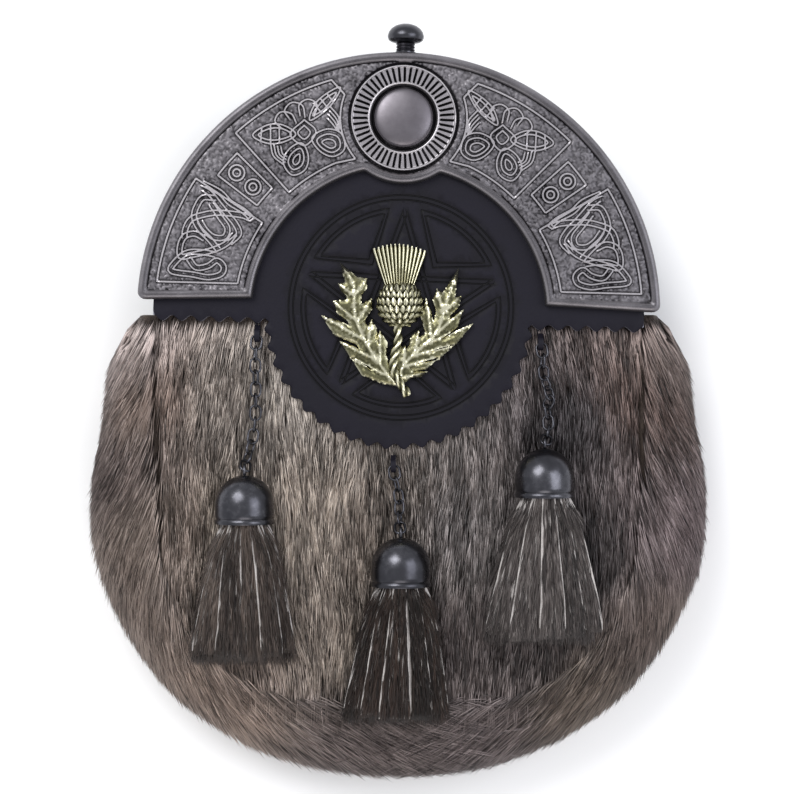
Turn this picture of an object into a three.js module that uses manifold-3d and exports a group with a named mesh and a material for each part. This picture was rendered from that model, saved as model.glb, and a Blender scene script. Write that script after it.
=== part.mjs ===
// A full-dress fur sporran: the leather, fur and metal pouch that is worn in front of a kilt.
// It lies on its back. +X is to the right of the front, +Y runs up towards the finial, +Z is the front.
// The origin is on the rear face of the back panel, straight behind the centre of the cantle's arc.
// Millimetres throughout.
import * as THREE from "three";
import { mergeVertices } from "three/addons/utils/BufferGeometryUtils.js";
import Module from "manifold-3d";

const wasm = await Module();
wasm.setup();

// ---- driving dimensions ------------------------------------------------------------------------
const CLEAR = 0.3; // gap that neighbouring pieces keep
const PANEL_RADIUS = 76.6; // upper, round part of the back and front panels
const BACK_THICK = 2; // back panel leather
const FRONT_HIDE = [30.3, 32]; // z of the front panel's hide
const PILE_EDGE = 34.2; // z of the front pile at its seam
const PILE_CROWN = 35.4; // z of the front pile at its middle
const FLOOR_Z = -2.3; // the hair and the belt loops reach this low
const MOUTH = { width: 72, height: 14, y: 37 }; // slot in the back panel that opens the pouch

const HEAD_TURN = THREE.MathUtils.degToRad(-1.5); // cantle and apron sit a little askew on the bag
const APRON_Z = [33.6, 35.4];
const APRON = { lobe: 42.6, wing: 79, wingY: -3, tooth: 6.15, toothDepth: 0.9 };

const CANTLE_Z = [35.7, 38]; // plate
const CANTLE_RIM_Z = 39;
const CANTLE_SKIRT_Z = 24; // lower edge of the side wall
const CANTLE = { outer: 84, inner: 47.2, foot: 2.7, bossY: 62.9, bulge: 21.1, corner: 2.4 };
const RIM = 2.8; // width of the raised edge
const SKIRT_THICK = 1.7;
const BOSS = { disc: 9.2, crown: 2.6, ringOuter: 17.1, ringInner: 16.1 };

const FINIAL = { z: 30, shank: 2, hole: 2.3, post: 2.95, cap: 5.85, postEnd: 88.4, top: 94.4 };

const BELL = { radius: 9.4, height: 15.4, wall: 0.9, z: 45.6 };
const EYE = { radius: 1.75, wire: 0.5, standOff: 1.4 };
const LINK = { length: 5.6, width: 4.2, wire: 0.8 };
const LINK_REACH = LINK.length / 2 - LINK.wire / 2; // from a link's middle to the wire at its end

// One row for each hanger: where its chain leaves the apron, the way it lies, and its bell and tassel.
const HANGERS = [
  {
    name: "left",
    route: [[-45.4, -6.8, 36.9], [-45.9, -12, 38], [-45.8, -24, 38], [-45.9, -33, 38.1],
      [-46.9, -41, 38.6], [-48.3, -45.9, 41], [-48.8, -50, 45.6]],
    rolls: [0, 76, -20, 62, -24, 80, 0, 88, 16, -56, 52, -20],
    bell: { x: -48.8, crown: -51.4 },
    tassel: { end: -110.2, x: -50, spread: 18.6 },
  },
  {
    name: "middle",
    route: [[-1.7, -48.6, 36.9], [-1, -53, 38], [0.1, -58, 38.4], [0.3, -63, 39.6],
      [0.2, -66.4, 42], [0.7, -69.8, 45.6]],
    rolls: [0, 72, -36, 36, -72, 0],
    bell: { x: 0.7, crown: -71.2 },
    tassel: { end: -129.4, x: -1, spread: 18.2 },
  },
  {
    name: "right",
    route: [[45.6, -9.4, 36.9], [46.5, -14, 38], [46.1, -19, 38.2], [47.6, -23.4, 39.4],
      [49, -26.6, 41], [47, -30, 39.4], [48.4, -34.6, 39], [47.6, -38.2, 41.2], [46.5, -41.6, 45.6]],
    rolls: [0, 76, -24, 56, -42, 36, -60, 24, -80, 0],
    bell: { x: 46.3, crown: -43 },
    tassel: { end: -104, x: 44.8, spread: 19.4 },
  },
];

// Half of each outline, from the cantle's foot down to the middle of the lower edge.
const SEAM_HALF = [
  [77, 0], [76.2, -15], [75.6, -40], [75, -62], [72.4, -82],
  [65.6, -98.5], [53.6, -111], [36, -118.6], [16, -121.6], [0, -122],
];
const FUR_HALF = [
  [86.2, 0], [91.4, -11], [96, -31], [99.4, -50], [100, -66],
  [97.8, -80], [90.4, -99], [77.4, -118.4], [58.4, -134.4], [33.6, -145.4], [0, -149.8],
];
// Section of the fur band: share of the way out from the seam, and height.
const BAND_SECTION = [
  { out: 0, z: FLOOR_Z }, { out: 0.62, z: FLOOR_Z }, { out: 0.82, z: 0 }, { out: 0.95, z: 6 },
  { out: 1, z: 14 }, { out: 0.97, z: 20.5 }, { out: 0.82, z: 27.5 }, { out: 0.5, z: 33.2 },
  { out: 0.22, z: 35.2 }, { out: 0.05, z: 34.2 }, { out: 0.02, z: 30 }, { out: 0.1, z: 22 },
  { out: 0.1, z: 10 }, { out: 0, z: 2.6 },
];

// ---- materials ---------------------------------------------------------------------------------
const material = (color, roughness, metalness) =>
  new THREE.MeshStandardMaterial({ color, roughness, metalness });
const BLACK_LEATHER = material(0x2b2833, 0.55, 0);
const FUR = material(0x6b5d53, 0.9, 0);
const PALE_FUR = material(0x9a8f80, 0.9, 0);
const PEWTER = material(0x8d8987, 0.4, 1);
const GUNMETAL = material(0x3a3a3d, 0.25, 1);
const ANTIQUE_GOLD = material(0xa09a72, 0.35, 1);

const sporran = new THREE.Group();

// ---- helpers -----------------------------------------------------------------------------------
function place(name, geometry, finish, parent = sporran) {
  const mesh = new THREE.Mesh(geometry, finish);
  mesh.name = name;
  parent.add(mesh);
  return mesh;
}

// A closed geometry as a manifold-3d solid, and back.
function solid(geometry) {
  const bare = geometry.clone();
  bare.deleteAttribute("normal");
  bare.deleteAttribute("uv");
  const merged = mergeVertices(bare, 1e-4);
  return new wasm.Manifold(new wasm.Mesh({
    numProp: 3,
    vertProperties: new Float32Array(merged.attributes.position.array),
    triVerts: new Uint32Array(merged.index.array),
  }));
}

function surface(body) {
  const mesh = body.getMesh();
  const geometry = new THREE.BufferGeometry();
  geometry.setAttribute("position", new THREE.BufferAttribute(mesh.vertProperties, 3));
  geometry.setIndex(new THREE.BufferAttribute(mesh.triVerts, 1));
  geometry.computeVertexNormals();
  return geometry;
}

// A flat outline given depth between two heights.
function slab(shape, low, high, curveSegments = 24) {
  const geometry = new THREE.ExtrudeGeometry(shape, {
    depth: high - low, bevelEnabled: false, curveSegments,
  });
  return geometry.translate(0, 0, low);
}

function block(size, centre) {
  return new THREE.BoxGeometry(...size).translate(...centre);
}

// A closed skin through rings of equal point count, with a flat cap at each end.
function loft(rings) {
  const count = rings[0].length;
  const positions = rings.flat().flatMap((p) => [p.x, p.y, p.z]);
  const index = [];
  for (let r = 0; r + 1 < rings.length; r++) {
    for (let i = 0; i < count; i++) {
      const a = r * count + i;
      const b = r * count + (i + 1) % count;
      index.push(a, b, b + count, a, b + count, a + count);
    }
  }
  const capPlane = (ring) => {
    const centre = ring.reduce((sum, p) => sum.add(p), new THREE.Vector3()).divideScalar(count);
    const u = ring[0].clone().sub(centre).normalize();
    const normal = new THREE.Vector3();
    ring.forEach((p, i) => {
      const q = ring[(i + 1) % count];
      normal.add(p.clone().sub(centre).cross(q.clone().sub(centre)));
    });
    normal.normalize();
    const v = normal.clone().cross(u);
    return ring.map((p) => new THREE.Vector2(p.clone().sub(centre).dot(u), p.clone().sub(centre).dot(v)));
  };
  const last = (rings.length - 1) * count;
  THREE.ShapeUtils.triangulateShape(capPlane(rings[0]), [])
    .forEach(([a, b, c]) => index.push(a, c, b));
  THREE.ShapeUtils.triangulateShape(capPlane(rings[rings.length - 1]), [])
    .forEach(([a, b, c]) => index.push(last + a, last + b, last + c));
  const geometry = new THREE.BufferGeometry();
  geometry.setAttribute("position", new THREE.Float32BufferAttribute(positions, 3));
  geometry.setIndex(index);
  geometry.computeVertexNormals();
  return geometry;
}

// A left and right symmetrical curve through one half of its points.
function mirroredCurve(half) {
  const right = half.map(([x, y]) => new THREE.Vector3(x, y, 0));
  const left = half.slice(0, -1).reverse().map(([x, y]) => new THREE.Vector3(-x, y, 0));
  return new THREE.CatmullRomCurve3([...right, ...left], false, "centripetal");
}

const seam = mirroredCurve(SEAM_HALF);
const furEdge = mirroredCurve(FUR_HALF);

// The panels' outline, held inside the seam: a half circle above and the seam's own curve below.
function panelShape(inset) {
  const shape = new THREE.Shape();
  const radius = PANEL_RADIUS - inset;
  shape.absarc(0, 0, radius, 0, Math.PI, false);
  const steps = 40;
  const middle = new THREE.Vector2(0, -20);
  const shrink = 1 - (CLEAR + 0.1 + inset) / SEAM_HALF[0][0];
  for (let i = steps - 1; i > 0; i--) {
    const p = seam.getPoint(i / steps);
    shape.lineTo(middle.x + (p.x - middle.x) * shrink, middle.y + (p.y - middle.y) * shrink);
  }
  return shape;
}

// ---- the bag -----------------------------------------------------------------------------------
// Back panel: one piece of leather with the slot that a hand goes in by.
const mouthCut = solid(block([MOUTH.width, MOUTH.height, 10], [0, MOUTH.y, 0]));
const backPanel = solid(slab(panelShape(0), 0, BACK_THICK)).subtract(mouthCut);
place("back_panel", surface(backPanel), BLACK_LEATHER);

// Top gusset: the black leather wall behind the cantle.
const gussetShape = new THREE.Shape();
const gussetRadius = [77, 79];
const gussetLift = Math.asin(CLEAR / gussetRadius[0]);
gussetShape.absarc(0, 0, gussetRadius[1], gussetLift, Math.PI - gussetLift, false);
gussetShape.absarc(0, 0, gussetRadius[0], Math.PI - gussetLift, gussetLift, true);
place("top_gusset", slab(gussetShape, 0, FRONT_HIDE[1], 48), BLACK_LEATHER);

// Apron outline in the cantle's own frame: a round lobe between two straight wings, with a pinked edge.
// A grown outline has no teeth: it is the room that the apron needs.
function apronShape(grow) {
  const { lobe, wing, wingY, tooth, toothDepth } = APRON;
  const swingAt = (turn) => (grow > 0 ? toothDepth + grow : -toothDepth * Math.cos(turn));
  const cornerY = wingY - swingAt(0);
  const corner = Math.asin(cornerY / (wing + grow));
  const wingEnd = (wing + grow) * Math.cos(corner);
  const lobeTurn = Math.asin(-wingY / lobe);
  const wingStart = lobe * Math.cos(lobeTurn);
  const shape = new THREE.Shape();
  const pinkedLine = (length, at) => {
    const teeth = Math.round(length / tooth);
    const points = teeth * 4;
    for (let i = 1; i < points; i++) {
      const { point, outward } = at(i / points);
      const swing = swingAt((2 * Math.PI * teeth * i) / points);
      shape.lineTo(point.x + outward.x * swing, point.y + outward.y * swing);
    }
  };
  const wingLine = (from, to) => pinkedLine(to - from, (t) => ({
    point: new THREE.Vector2(from + (to - from) * t, wingY), outward: new THREE.Vector2(0, -1),
  }));
  shape.absarc(0, 0, wing + grow, corner, Math.PI - corner, false);
  wingLine(-wingEnd, -wingStart);
  pinkedLine(Math.PI * lobe, (t) => {
    const angle = Math.PI + lobeTurn + (Math.PI - 2 * lobeTurn) * t;
    const outward = new THREE.Vector2(Math.cos(angle), Math.sin(angle));
    return { point: outward.clone().multiplyScalar(lobe), outward };
  });
  wingLine(wingStart, wingEnd);
  return shape;
}

// Fur band: the strip of long-haired pelt round the sides and foot, with its hair as one outer form.
const BAND_STEPS = 44;
const bandRings = [];
for (let i = 0; i <= BAND_STEPS; i++) {
  const inner = seam.getPoint(i / BAND_STEPS);
  const outer = furEdge.getPoint(i / BAND_STEPS);
  bandRings.push(BAND_SECTION.map(({ out, z }) => new THREE.Vector3().lerpVectors(inner, outer, out).setZ(z)));
}
const underWings = slab(apronShape(0.6), APRON_Z[0] - CLEAR, 60, 48).rotateZ(HEAD_TURN);
place("fur_band", surface(solid(loft(bandRings)).subtract(solid(underWings))), FUR);

// Front panel: hide with a low domed pile, cut back where the apron and the hangers' tabs lie on it.
const PILE_RINGS = [0, 0.3, 0.6, 0.85, 1];
const pileOutline = panelShape(0).getPoints(20);
pileOutline.pop();
const pileRings = PILE_RINGS.map((share) => {
  const reach = 1 - 0.96 * share;
  const z = PILE_EDGE + (PILE_CROWN - PILE_EDGE) * Math.sin((share * Math.PI) / 2);
  return pileOutline.map((p) => new THREE.Vector3(p.x * reach, -20 + (p.y + 20) * reach, z));
});
const hideFoot = pileOutline.map((p) => new THREE.Vector3(p.x, p.y, FRONT_HIDE[0]));
const pile = solid(loft([hideFoot, ...pileRings]));
const underApron = slab(apronShape(0.6), FRONT_HIDE[1], 60, 48).rotateZ(HEAD_TURN);
const aboveWaist = block([200, 100, 28], [0, 48, FRONT_HIDE[1] + 14]);
let frontPanel = pile.subtract(solid(underApron)).subtract(solid(aboveWaist));
HANGERS.forEach(({ route }) => {
  const [x, y] = route[0];
  frontPanel = frontPanel.subtract(solid(block([4.4, 10, 12], [x, y + 2.6, FRONT_HIDE[1] + CLEAR + 6])));
});
place("fur_front", surface(frontPanel), PALE_FUR);

// Belt loops: two leather straps on the back, through which the sporran strap is passed.
const LOOP = { x: 48, y: 30, width: 14, length: 36, thick: 2 };
[["left", -1], ["right", 1]].forEach(([side, sign]) => {
  const strap = block([LOOP.width, LOOP.length, LOOP.thick], [sign * LOOP.x, LOOP.y, FLOOR_Z + LOOP.thick / 2]);
  place("belt_loop_" + side, strap, BLACK_LEATHER);
});

// ---- the head: apron, cantle, boss and finial, turned together --------------------------------------
const head = new THREE.Group();
head.rotation.z = HEAD_TURN;
sporran.add(head);

place("apron", slab(apronShape(0), ...APRON_Z, 60), BLACK_LEATHER, head);

// Cantle outline, drawn in from every edge by the same amount.
function cantleShape(inset) {
  const outer = CANTLE.outer - inset;
  const inner = CANTLE.inner + inset;
  const foot = CANTLE.foot + inset;
  const bulge = CANTLE.bulge - inset;
  const corner = Math.max(CANTLE.corner - inset, 0.4);
  const cuspY = (inner * inner + CANTLE.bossY ** 2 - bulge * bulge) / (2 * CANTLE.bossY);
  const cuspAngle = Math.acos(cuspY / inner);
  const bulgeAngle = Math.asin(Math.min(1, (inner * Math.sin(cuspAngle)) / bulge));
  const footOuter = Math.asin((foot + corner) / outer);
  const footInner = Math.asin((foot + corner / 2) / inner);
  const shape = new THREE.Shape();
  shape.absarc(0, 0, outer, footOuter, Math.PI - footOuter, false);
  shape.quadraticCurveTo(-outer, foot, -outer + corner * 1.2, foot);
  shape.lineTo(-inner - corner / 2, foot);
  shape.quadraticCurveTo(-inner, foot, -inner * Math.cos(footInner), inner * Math.sin(footInner));
  shape.absarc(0, 0, inner, Math.PI - footInner, Math.PI / 2 + cuspAngle, true);
  shape.absarc(0, CANTLE.bossY, bulge, -Math.PI / 2 - bulgeAngle, -Math.PI / 2 + bulgeAngle, false);
  shape.absarc(0, 0, inner, Math.PI / 2 - cuspAngle, footInner, true);
  shape.quadraticCurveTo(inner, foot, inner + corner / 2, foot);
  shape.lineTo(outer - corner * 1.2, foot);
  shape.quadraticCurveTo(outer, foot, outer * Math.cos(footOuter), outer * Math.sin(footOuter));
  return shape;
}

function ring(outer, inner, low, high, y) {
  const shape = new THREE.Shape();
  shape.absarc(0, y, outer, 0, 2 * Math.PI, false);
  const hole = new THREE.Path();
  hole.absarc(0, y, inner, 0, 2 * Math.PI, true);
  shape.holes.push(hole);
  return slab(shape, low, high, 20);
}

// A shape turned about an axis that points along +Y, from a profile of [radius, distance] pairs.
function turned(profile, segments = 28) {
  return new THREE.LatheGeometry(profile.map(([r, y]) => new THREE.Vector2(r, y)), segments);
}

// Cantle: one casting, a flat plate with a raised edge, a ring round the boss and a side wall.
const footAngle = Math.asin((CANTLE.foot + CANTLE.corner) / CANTLE.outer);
const skirtShape = new THREE.Shape();
skirtShape.absarc(0, 0, CANTLE.outer, footAngle, Math.PI - footAngle, false);
skirtShape.absarc(0, 0, CANTLE.outer - SKIRT_THICK, Math.PI - footAngle, footAngle, true);
const plateSink = solid(slab(cantleShape(RIM), CANTLE_Z[1], CANTLE_RIM_Z + 2, 20));
const bossSink = solid(ring(BOSS.disc + CLEAR + 0.2, 0.5, CANTLE_Z[1] - 0.6, CANTLE_RIM_Z, CANTLE.bossY));
const finialHole = turned([[0, 78], [FINIAL.hole, 78], [FINIAL.hole, 90], [0, 90]], 20)
  .translate(0, 0, FINIAL.z);
const cantle = solid(slab(cantleShape(0), CANTLE_Z[0], CANTLE_RIM_Z, 20))
  .subtract(plateSink)
  .add(solid(slab(skirtShape, CANTLE_SKIRT_Z, CANTLE_Z[0] + 0.5, 20)))
  .add(solid(ring(BOSS.ringOuter, BOSS.ringInner, CANTLE_Z[1] - 0.5, CANTLE_RIM_Z + 0.4, CANTLE.bossY)))
  .subtract(bossSink)
  .subtract(solid(finialHole));
place("cantle", surface(cantle), PEWTER, head);

// Boss: the plain polished dome in the middle of the rosette.
const bossLow = CANTLE_Z[1] + CLEAR;
const bossProfile = [[0, bossLow], [BOSS.disc, bossLow], [BOSS.disc, bossLow + 0.8]];
for (let i = 1; i <= 6; i++) {
  const turn = (i / 6) * (Math.PI / 2);
  bossProfile.push([BOSS.disc * Math.cos(turn), bossLow + 0.8 + (BOSS.crown - 0.8) * Math.sin(turn)]);
}
bossProfile[bossProfile.length - 1][0] = 0;
const boss = turned(bossProfile).rotateX(Math.PI / 2).translate(0, CANTLE.bossY, 0);
place("cantle_boss", boss, PEWTER, head);

// Finial: a turned knob whose shank goes through the side wall.
const capLow = FINIAL.postEnd;
const finial = turned([
  [0, 80.6], [FINIAL.shank, 80.6], [FINIAL.shank, CANTLE.outer + CLEAR], [FINIAL.post, CANTLE.outer + CLEAR],
  [FINIAL.post, capLow - 1], [FINIAL.post + 1, capLow], [FINIAL.cap - 0.5, capLow + 0.8],
  [FINIAL.cap, capLow + 2], [FINIAL.cap - 0.3, capLow + 3.4], [FINIAL.cap - 1.4, capLow + 4.8],
  [FINIAL.cap - 3.2, FINIAL.top - 0.3], [0, FINIAL.top],
], 28).translate(0, 0, FINIAL.z);
place("finial", finial, GUNMETAL, head);

// ---- thistle badge -------------------------------------------------------------------------------
// Each leaf is a midrib with a row for each pointed lobe: its side, the share of the midrib it grows from,
// and its tip.
const LEAVES = [
  {
    rib: [[0, -23.4], [-3.7, -19.2], [-9.8, -10.2], [-13.9, -0.9], [-14.7, 9.7], [-18.8, 16.6]],
    halfWidth: 2.6,
    lobes: [
      { side: 1, from: 0.22, tip: [-15.3, -14] }, { side: 1, from: 0.36, tip: [-19, -8.6] },
      { side: 1, from: 0.5, tip: [-24.9, -0.3] }, { side: 1, from: 0.64, tip: [-21.1, 4.2] },
      { side: 1, from: 0.78, tip: [-19.4, 9.9] }, { side: -1, from: 0.78, tip: [-10.1, 11.4] },
      { side: -1, from: 0.62, tip: [-8.5, 5.2] }, { side: -1, from: 0.46, tip: [-8.6, -1.6] },
      { side: -1, from: 0.34, tip: [-6, -5.2] },
    ],
  },
  {
    rib: [[0.6, -23.2], [1.1, -17.3], [6.1, -11.8], [12.2, -5.8], [15.5, 4.2], [19.4, 15]],
    halfWidth: 2.6,
    lobes: [
      { side: 1, from: 0.28, tip: [2.2, -9.6] }, { side: 1, from: 0.42, tip: [6.7, -4.8] },
      { side: 1, from: 0.6, tip: [8.9, 5.4] }, { side: 1, from: 0.78, tip: [12.2, 8.3] },
      { side: -1, from: 0.78, tip: [20.2, 5.9] }, { side: -1, from: 0.64, tip: [21, 1.6] },
      { side: -1, from: 0.52, tip: [24.1, -2.9] }, { side: -1, from: 0.4, tip: [17.9, -9.9] },
      { side: -1, from: 0.27, tip: [12.8, -14] }, { side: -1, from: 0.15, tip: [9.4, -18.4] },
    ],
  },
];
const BADGE_Z = APRON_Z[1] + CLEAR;

// Outline of a leaf: out along the lobes of one side, over the point, and back along the other side.
function leafShape({ rib, halfWidth, lobes }) {
  const curve = new THREE.CatmullRomCurve3(rib.map(([x, y]) => new THREE.Vector3(x, y, 0)));
  const beside = (share, side) => {
    const p = curve.getPoint(share);
    const t = curve.getTangent(share);
    const reach = halfWidth * side * (1 - 0.5 * share);
    return new THREE.Vector2(p.x - t.y * reach, p.y + t.x * reach);
  };
  const walk = (side, rising) => {
    const row = lobes.filter((lobe) => lobe.side === side)
      .sort((a, b) => (rising ? a.from - b.from : b.from - a.from));
    return row.flatMap(({ from, tip }) => {
      const step = rising ? 0.05 : -0.05;
      return [beside(from - step, side), new THREE.Vector2(...tip), beside(from + step, side)];
    });
  };
  const base = curve.getPoint(0);
  const point = curve.getPoint(1);
  return new THREE.Shape([
    new THREE.Vector2(base.x, base.y), ...walk(1, true), new THREE.Vector2(point.x, point.y), ...walk(-1, false),
  ]);
}

function rod(points, radius, steps, sides) {
  const curve = new THREE.CatmullRomCurve3(points.map((p) => new THREE.Vector3(...p)));
  const section = new THREE.Shape();
  for (let i = 0; i < sides; i++) {
    const turn = (2 * Math.PI * i) / sides;
    const x = radius * Math.cos(turn);
    const y = radius * Math.sin(turn);
    if (i === 0) section.moveTo(x, y);
    else section.lineTo(x, y);
  }
  return new THREE.ExtrudeGeometry(section, { steps, extrudePath: curve, bevelEnabled: false });
}

const bulbMiddle = [0.4, 3.6];
const bulb = solid(new THREE.SphereGeometry(1, 20, 14).scale(7.6, 7.7, 6.2)
  .translate(...bulbMiddle, BADGE_Z + 0.8));
const tuftShape = new THREE.Shape();
tuftShape.moveTo(-3.9, 8);
tuftShape.lineTo(-4.1, 11);
tuftShape.lineTo(-8.5, 20.2);
tuftShape.quadraticCurveTo(0.4, 24, 9.1, 19.5);
tuftShape.lineTo(4.7, 11);
tuftShape.lineTo(4.6, 8);
const stem = rod([[-0.4, -2, BADGE_Z + 1.6], [-0.2, -9, BADGE_Z + 1.8], [-1.5, -14.5, BADGE_Z + 2],
  [-1.5, -18.5, BADGE_Z + 2], [0.8, -22.7, BADGE_Z + 1.8], [3, -26.2, BADGE_Z + 1.6]], 1.35, 16, 8);
const badgeBack = solid(block([60, 60, 20], [0, 0, BADGE_Z - 10]));
let badge = bulb.add(solid(slab(tuftShape, BADGE_Z, BADGE_Z + 3.6, 10))).add(solid(stem));
LEAVES.forEach((leaf) => {
  badge = badge.add(solid(slab(leafShape(leaf), BADGE_Z, BADGE_Z + 2.4)));
});
place("thistle_badge", surface(badge.subtract(badgeBack)), ANTIQUE_GOLD);

// ---- hangers: tab, chain, bell and tassel ------------------------------------------------------------
// One oval link, lying in the XY plane with its length along Y.
function linkGeometry() {
  const straight = (LINK.length - LINK.width) / 2;
  const radius = (LINK.width - LINK.wire) / 2;
  const around = 12;
  const section = 6;
  const centre = (i) => {
    const turn = (2 * Math.PI * (i + 0.5)) / around;
    const lift = Math.sign(Math.sin(turn)) * straight;
    return new THREE.Vector3(radius * Math.cos(turn), radius * Math.sin(turn) + lift, 0);
  };
  const positions = [];
  const index = [];
  for (let i = 0; i < around; i++) {
    const p = centre(i);
    const along = centre(i + 1).sub(centre(i - 1)).normalize();
    const side = new THREE.Vector3(0, 0, 1).cross(along);
    for (let k = 0; k < section; k++) {
      const turn = (2 * Math.PI * k) / section;
      const q = p.clone().addScaledVector(side, (LINK.wire / 2) * Math.cos(turn));
      positions.push(q.x, q.y, (LINK.wire / 2) * Math.sin(turn));
      const a = i * section + k;
      const b = i * section + (k + 1) % section;
      const c = ((i + 1) % around) * section + (k + 1) % section;
      const d = ((i + 1) % around) * section + k;
      index.push(a, b, c, a, c, d);
    }
  }
  const geometry = new THREE.BufferGeometry();
  geometry.setAttribute("position", new THREE.Float32BufferAttribute(positions, 3));
  geometry.setIndex(index);
  geometry.computeVertexNormals();
  return geometry;
}

// Tab: a narrow thong from under the apron, looped round the end of the first link.
function tabGeometry(x, y, z) {
  const eye = 1.45;
  const thick = 0.8;
  const width = 1.7;
  const outer = eye + thick;
  const side = new THREE.Shape();
  side.moveTo(y + 7, FRONT_HIDE[1] + CLEAR + 0.1);
  side.lineTo(y + 7, APRON_Z[0] - CLEAR);
  side.lineTo(y + 3.4, APRON_Z[0] - CLEAR);
  side.absarc(y, z, outer, Math.PI * 0.25, Math.PI * 1.4, false);
  side.lineTo(y + 2, FRONT_HIDE[1] + CLEAR + 0.1);
  const hole = new THREE.Path();
  hole.absarc(y, z, eye, 0, 2 * Math.PI, true);
  side.holes.push(hole);
  const strap = new THREE.ExtrudeGeometry(side, { depth: width, bevelEnabled: false, curveSegments: 8 });
  // The outline was drawn in the YZ plane: turn it so that its depth runs along X.
  const toYZ = new THREE.Matrix4().makeBasis(
    new THREE.Vector3(0, 1, 0), new THREE.Vector3(0, 0, 1), new THREE.Vector3(1, 0, 0));
  return strap.applyMatrix4(toYZ).translate(x - width / 2, 0, 0);
}

// Bell: a thin domed cap on its side, mouth towards -Y, with an eye on its crown.
function bellGeometry() {
  const { radius, height, wall } = BELL;
  const straight = height - radius;
  const profile = [];
  const arc = (r, list) => {
    for (let i = 0; i <= 5; i++) {
      const turn = (i / 5) * (Math.PI / 2);
      list.push([r * Math.cos(turn), -radius + r * Math.sin(turn)]);
    }
  };
  arc(radius, profile);
  profile[profile.length - 1][0] = 0;
  const inside = [];
  arc(radius - wall, inside);
  inside[inside.length - 1][0] = 0;
  const foot = -radius - straight;
  const shell = turned([
    ...inside.reverse(), [radius - wall, foot], [radius + 0.1, foot], [radius + 0.1, foot + 1], ...profile,
  ], 20);
  const eye = new THREE.TorusGeometry(EYE.radius, EYE.wire, 6, 12)
    .rotateY(Math.PI / 2).translate(0, EYE.standOff, 0);
  return surface(solid(shell).add(solid(eye)));
}

// Tassel: the outer form of a bundle of fur strips, round in the bell and flattened where it lies.
const TASSEL_NECK = 7.4; // radius of the bundle where the bell holds it
const TASSEL_SECTIONS = [
  { share: -0.28, flare: -0.25, low: 40.8, high: 50.4 }, { share: -0.2, flare: 0, low: 38.2, high: 53 },
  { share: 0, flare: 0, low: 38.2, high: 53 },
  { share: 0.06, flare: 0.18, low: 36.6, high: 53.2 }, { share: 0.3, flare: 0.48, low: 36.2, high: 51.4 },
  { share: 0.65, flare: 0.78, low: 36.1, high: 48.6 }, { share: 0.95, flare: 1, low: 36.1, high: 44.8 },
  { share: 1, flare: 0.95, low: 36.9, high: 42.8 },
];

function tasselGeometry(bell, tassel) {
  const mouth = bell.crown - BELL.height;
  const points = 18;
  const rings = TASSEL_SECTIONS.map(({ share, flare, low, high }) => {
    const halfWidth = THREE.MathUtils.lerp(TASSEL_NECK, tassel.spread, flare);
    const y = mouth + (tassel.end - mouth) * share;
    const x = bell.x + (tassel.x - bell.x) * Math.max(share, 0);
    return Array.from({ length: points }, (_, i) => {
      const turn = (2 * Math.PI * i) / points;
      const dx = halfWidth * Math.cos(turn);
      return new THREE.Vector3(x + dx, y, (low + high) / 2 + ((high - low) / 2) * Math.sin(turn));
    });
  });
  return loft(rings);
}

HANGERS.forEach(({ name, route, rolls, bell, tassel }) => {
  place("chain_tab_" + name, tabGeometry(...route[0]), BLACK_LEATHER);

  const path = new THREE.CatmullRomCurve3(route.map((p) => new THREE.Vector3(...p)), false, "centripetal");
  path.arcLengthDivisions = 600;
  const length = path.getLength();
  const pitch = (length - 2 * LINK_REACH) / (rolls.length - 1);
  rolls.forEach((roll, i) => {
    const share = (LINK_REACH + i * pitch) / length;
    const back = path.getPointAt(Math.max(0, share - LINK_REACH / length));
    const ahead = path.getPointAt(Math.min(1, share + LINK_REACH / length));
    const along = ahead.clone().sub(back).normalize();
    const across = along.clone().cross(new THREE.Vector3(0, 0, 1)).normalize();
    const up = across.clone().cross(along);
    const frame = new THREE.Matrix4().makeBasis(across, along, up);
    const link = place("chain_link_" + name + "_" + String(i + 1).padStart(2, "0"), linkGeometry(), GUNMETAL);
    link.quaternion.setFromRotationMatrix(frame);
    link.rotateY(THREE.MathUtils.degToRad(roll));
    link.position.lerpVectors(back, ahead, 0.5);
  });

  place("tassel_bell_" + name, bellGeometry(), GUNMETAL).position.set(bell.x, bell.crown, BELL.z);
  place("tassel_" + name, tasselGeometry(bell, tassel), FUR);
});

export default sporran;
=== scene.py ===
"""Full-dress sporran: a pelt pouch with a pewter cantle, a pinked apron, a thistle badge and three tassels.

It lies on its back. +X is to the right of the front, +Y runs up towards the finial, +Z is the front.
Sizes are in millimetres until a mesh is made; the meshes are in metres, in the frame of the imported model.
"""
import math

import bpy
import numpy as np
from mathutils import Matrix, Vector
from mathutils.geometry import delaunay_2d_cdt


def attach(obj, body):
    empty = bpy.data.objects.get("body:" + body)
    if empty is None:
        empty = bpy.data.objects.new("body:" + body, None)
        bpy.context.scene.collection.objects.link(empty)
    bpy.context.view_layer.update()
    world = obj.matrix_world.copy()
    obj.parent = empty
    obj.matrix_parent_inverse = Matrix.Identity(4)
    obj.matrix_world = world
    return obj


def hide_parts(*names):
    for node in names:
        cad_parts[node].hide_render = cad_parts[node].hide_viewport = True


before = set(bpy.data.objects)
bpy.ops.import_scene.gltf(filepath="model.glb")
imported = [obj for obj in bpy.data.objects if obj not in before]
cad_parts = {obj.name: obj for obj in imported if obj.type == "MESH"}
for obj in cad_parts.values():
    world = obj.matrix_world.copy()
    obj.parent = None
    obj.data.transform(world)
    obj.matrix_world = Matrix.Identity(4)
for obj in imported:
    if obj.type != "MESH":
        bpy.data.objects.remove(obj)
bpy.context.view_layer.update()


# ---- Studio: camera, floor and lamps -----------------------------------------------------------------
# The pouch is laid on a white table, and the camera hangs straight above it.
# Two wide soft boxes and a pale room light it, so that the metal has something broad to reflect.
MM = 0.001
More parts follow.
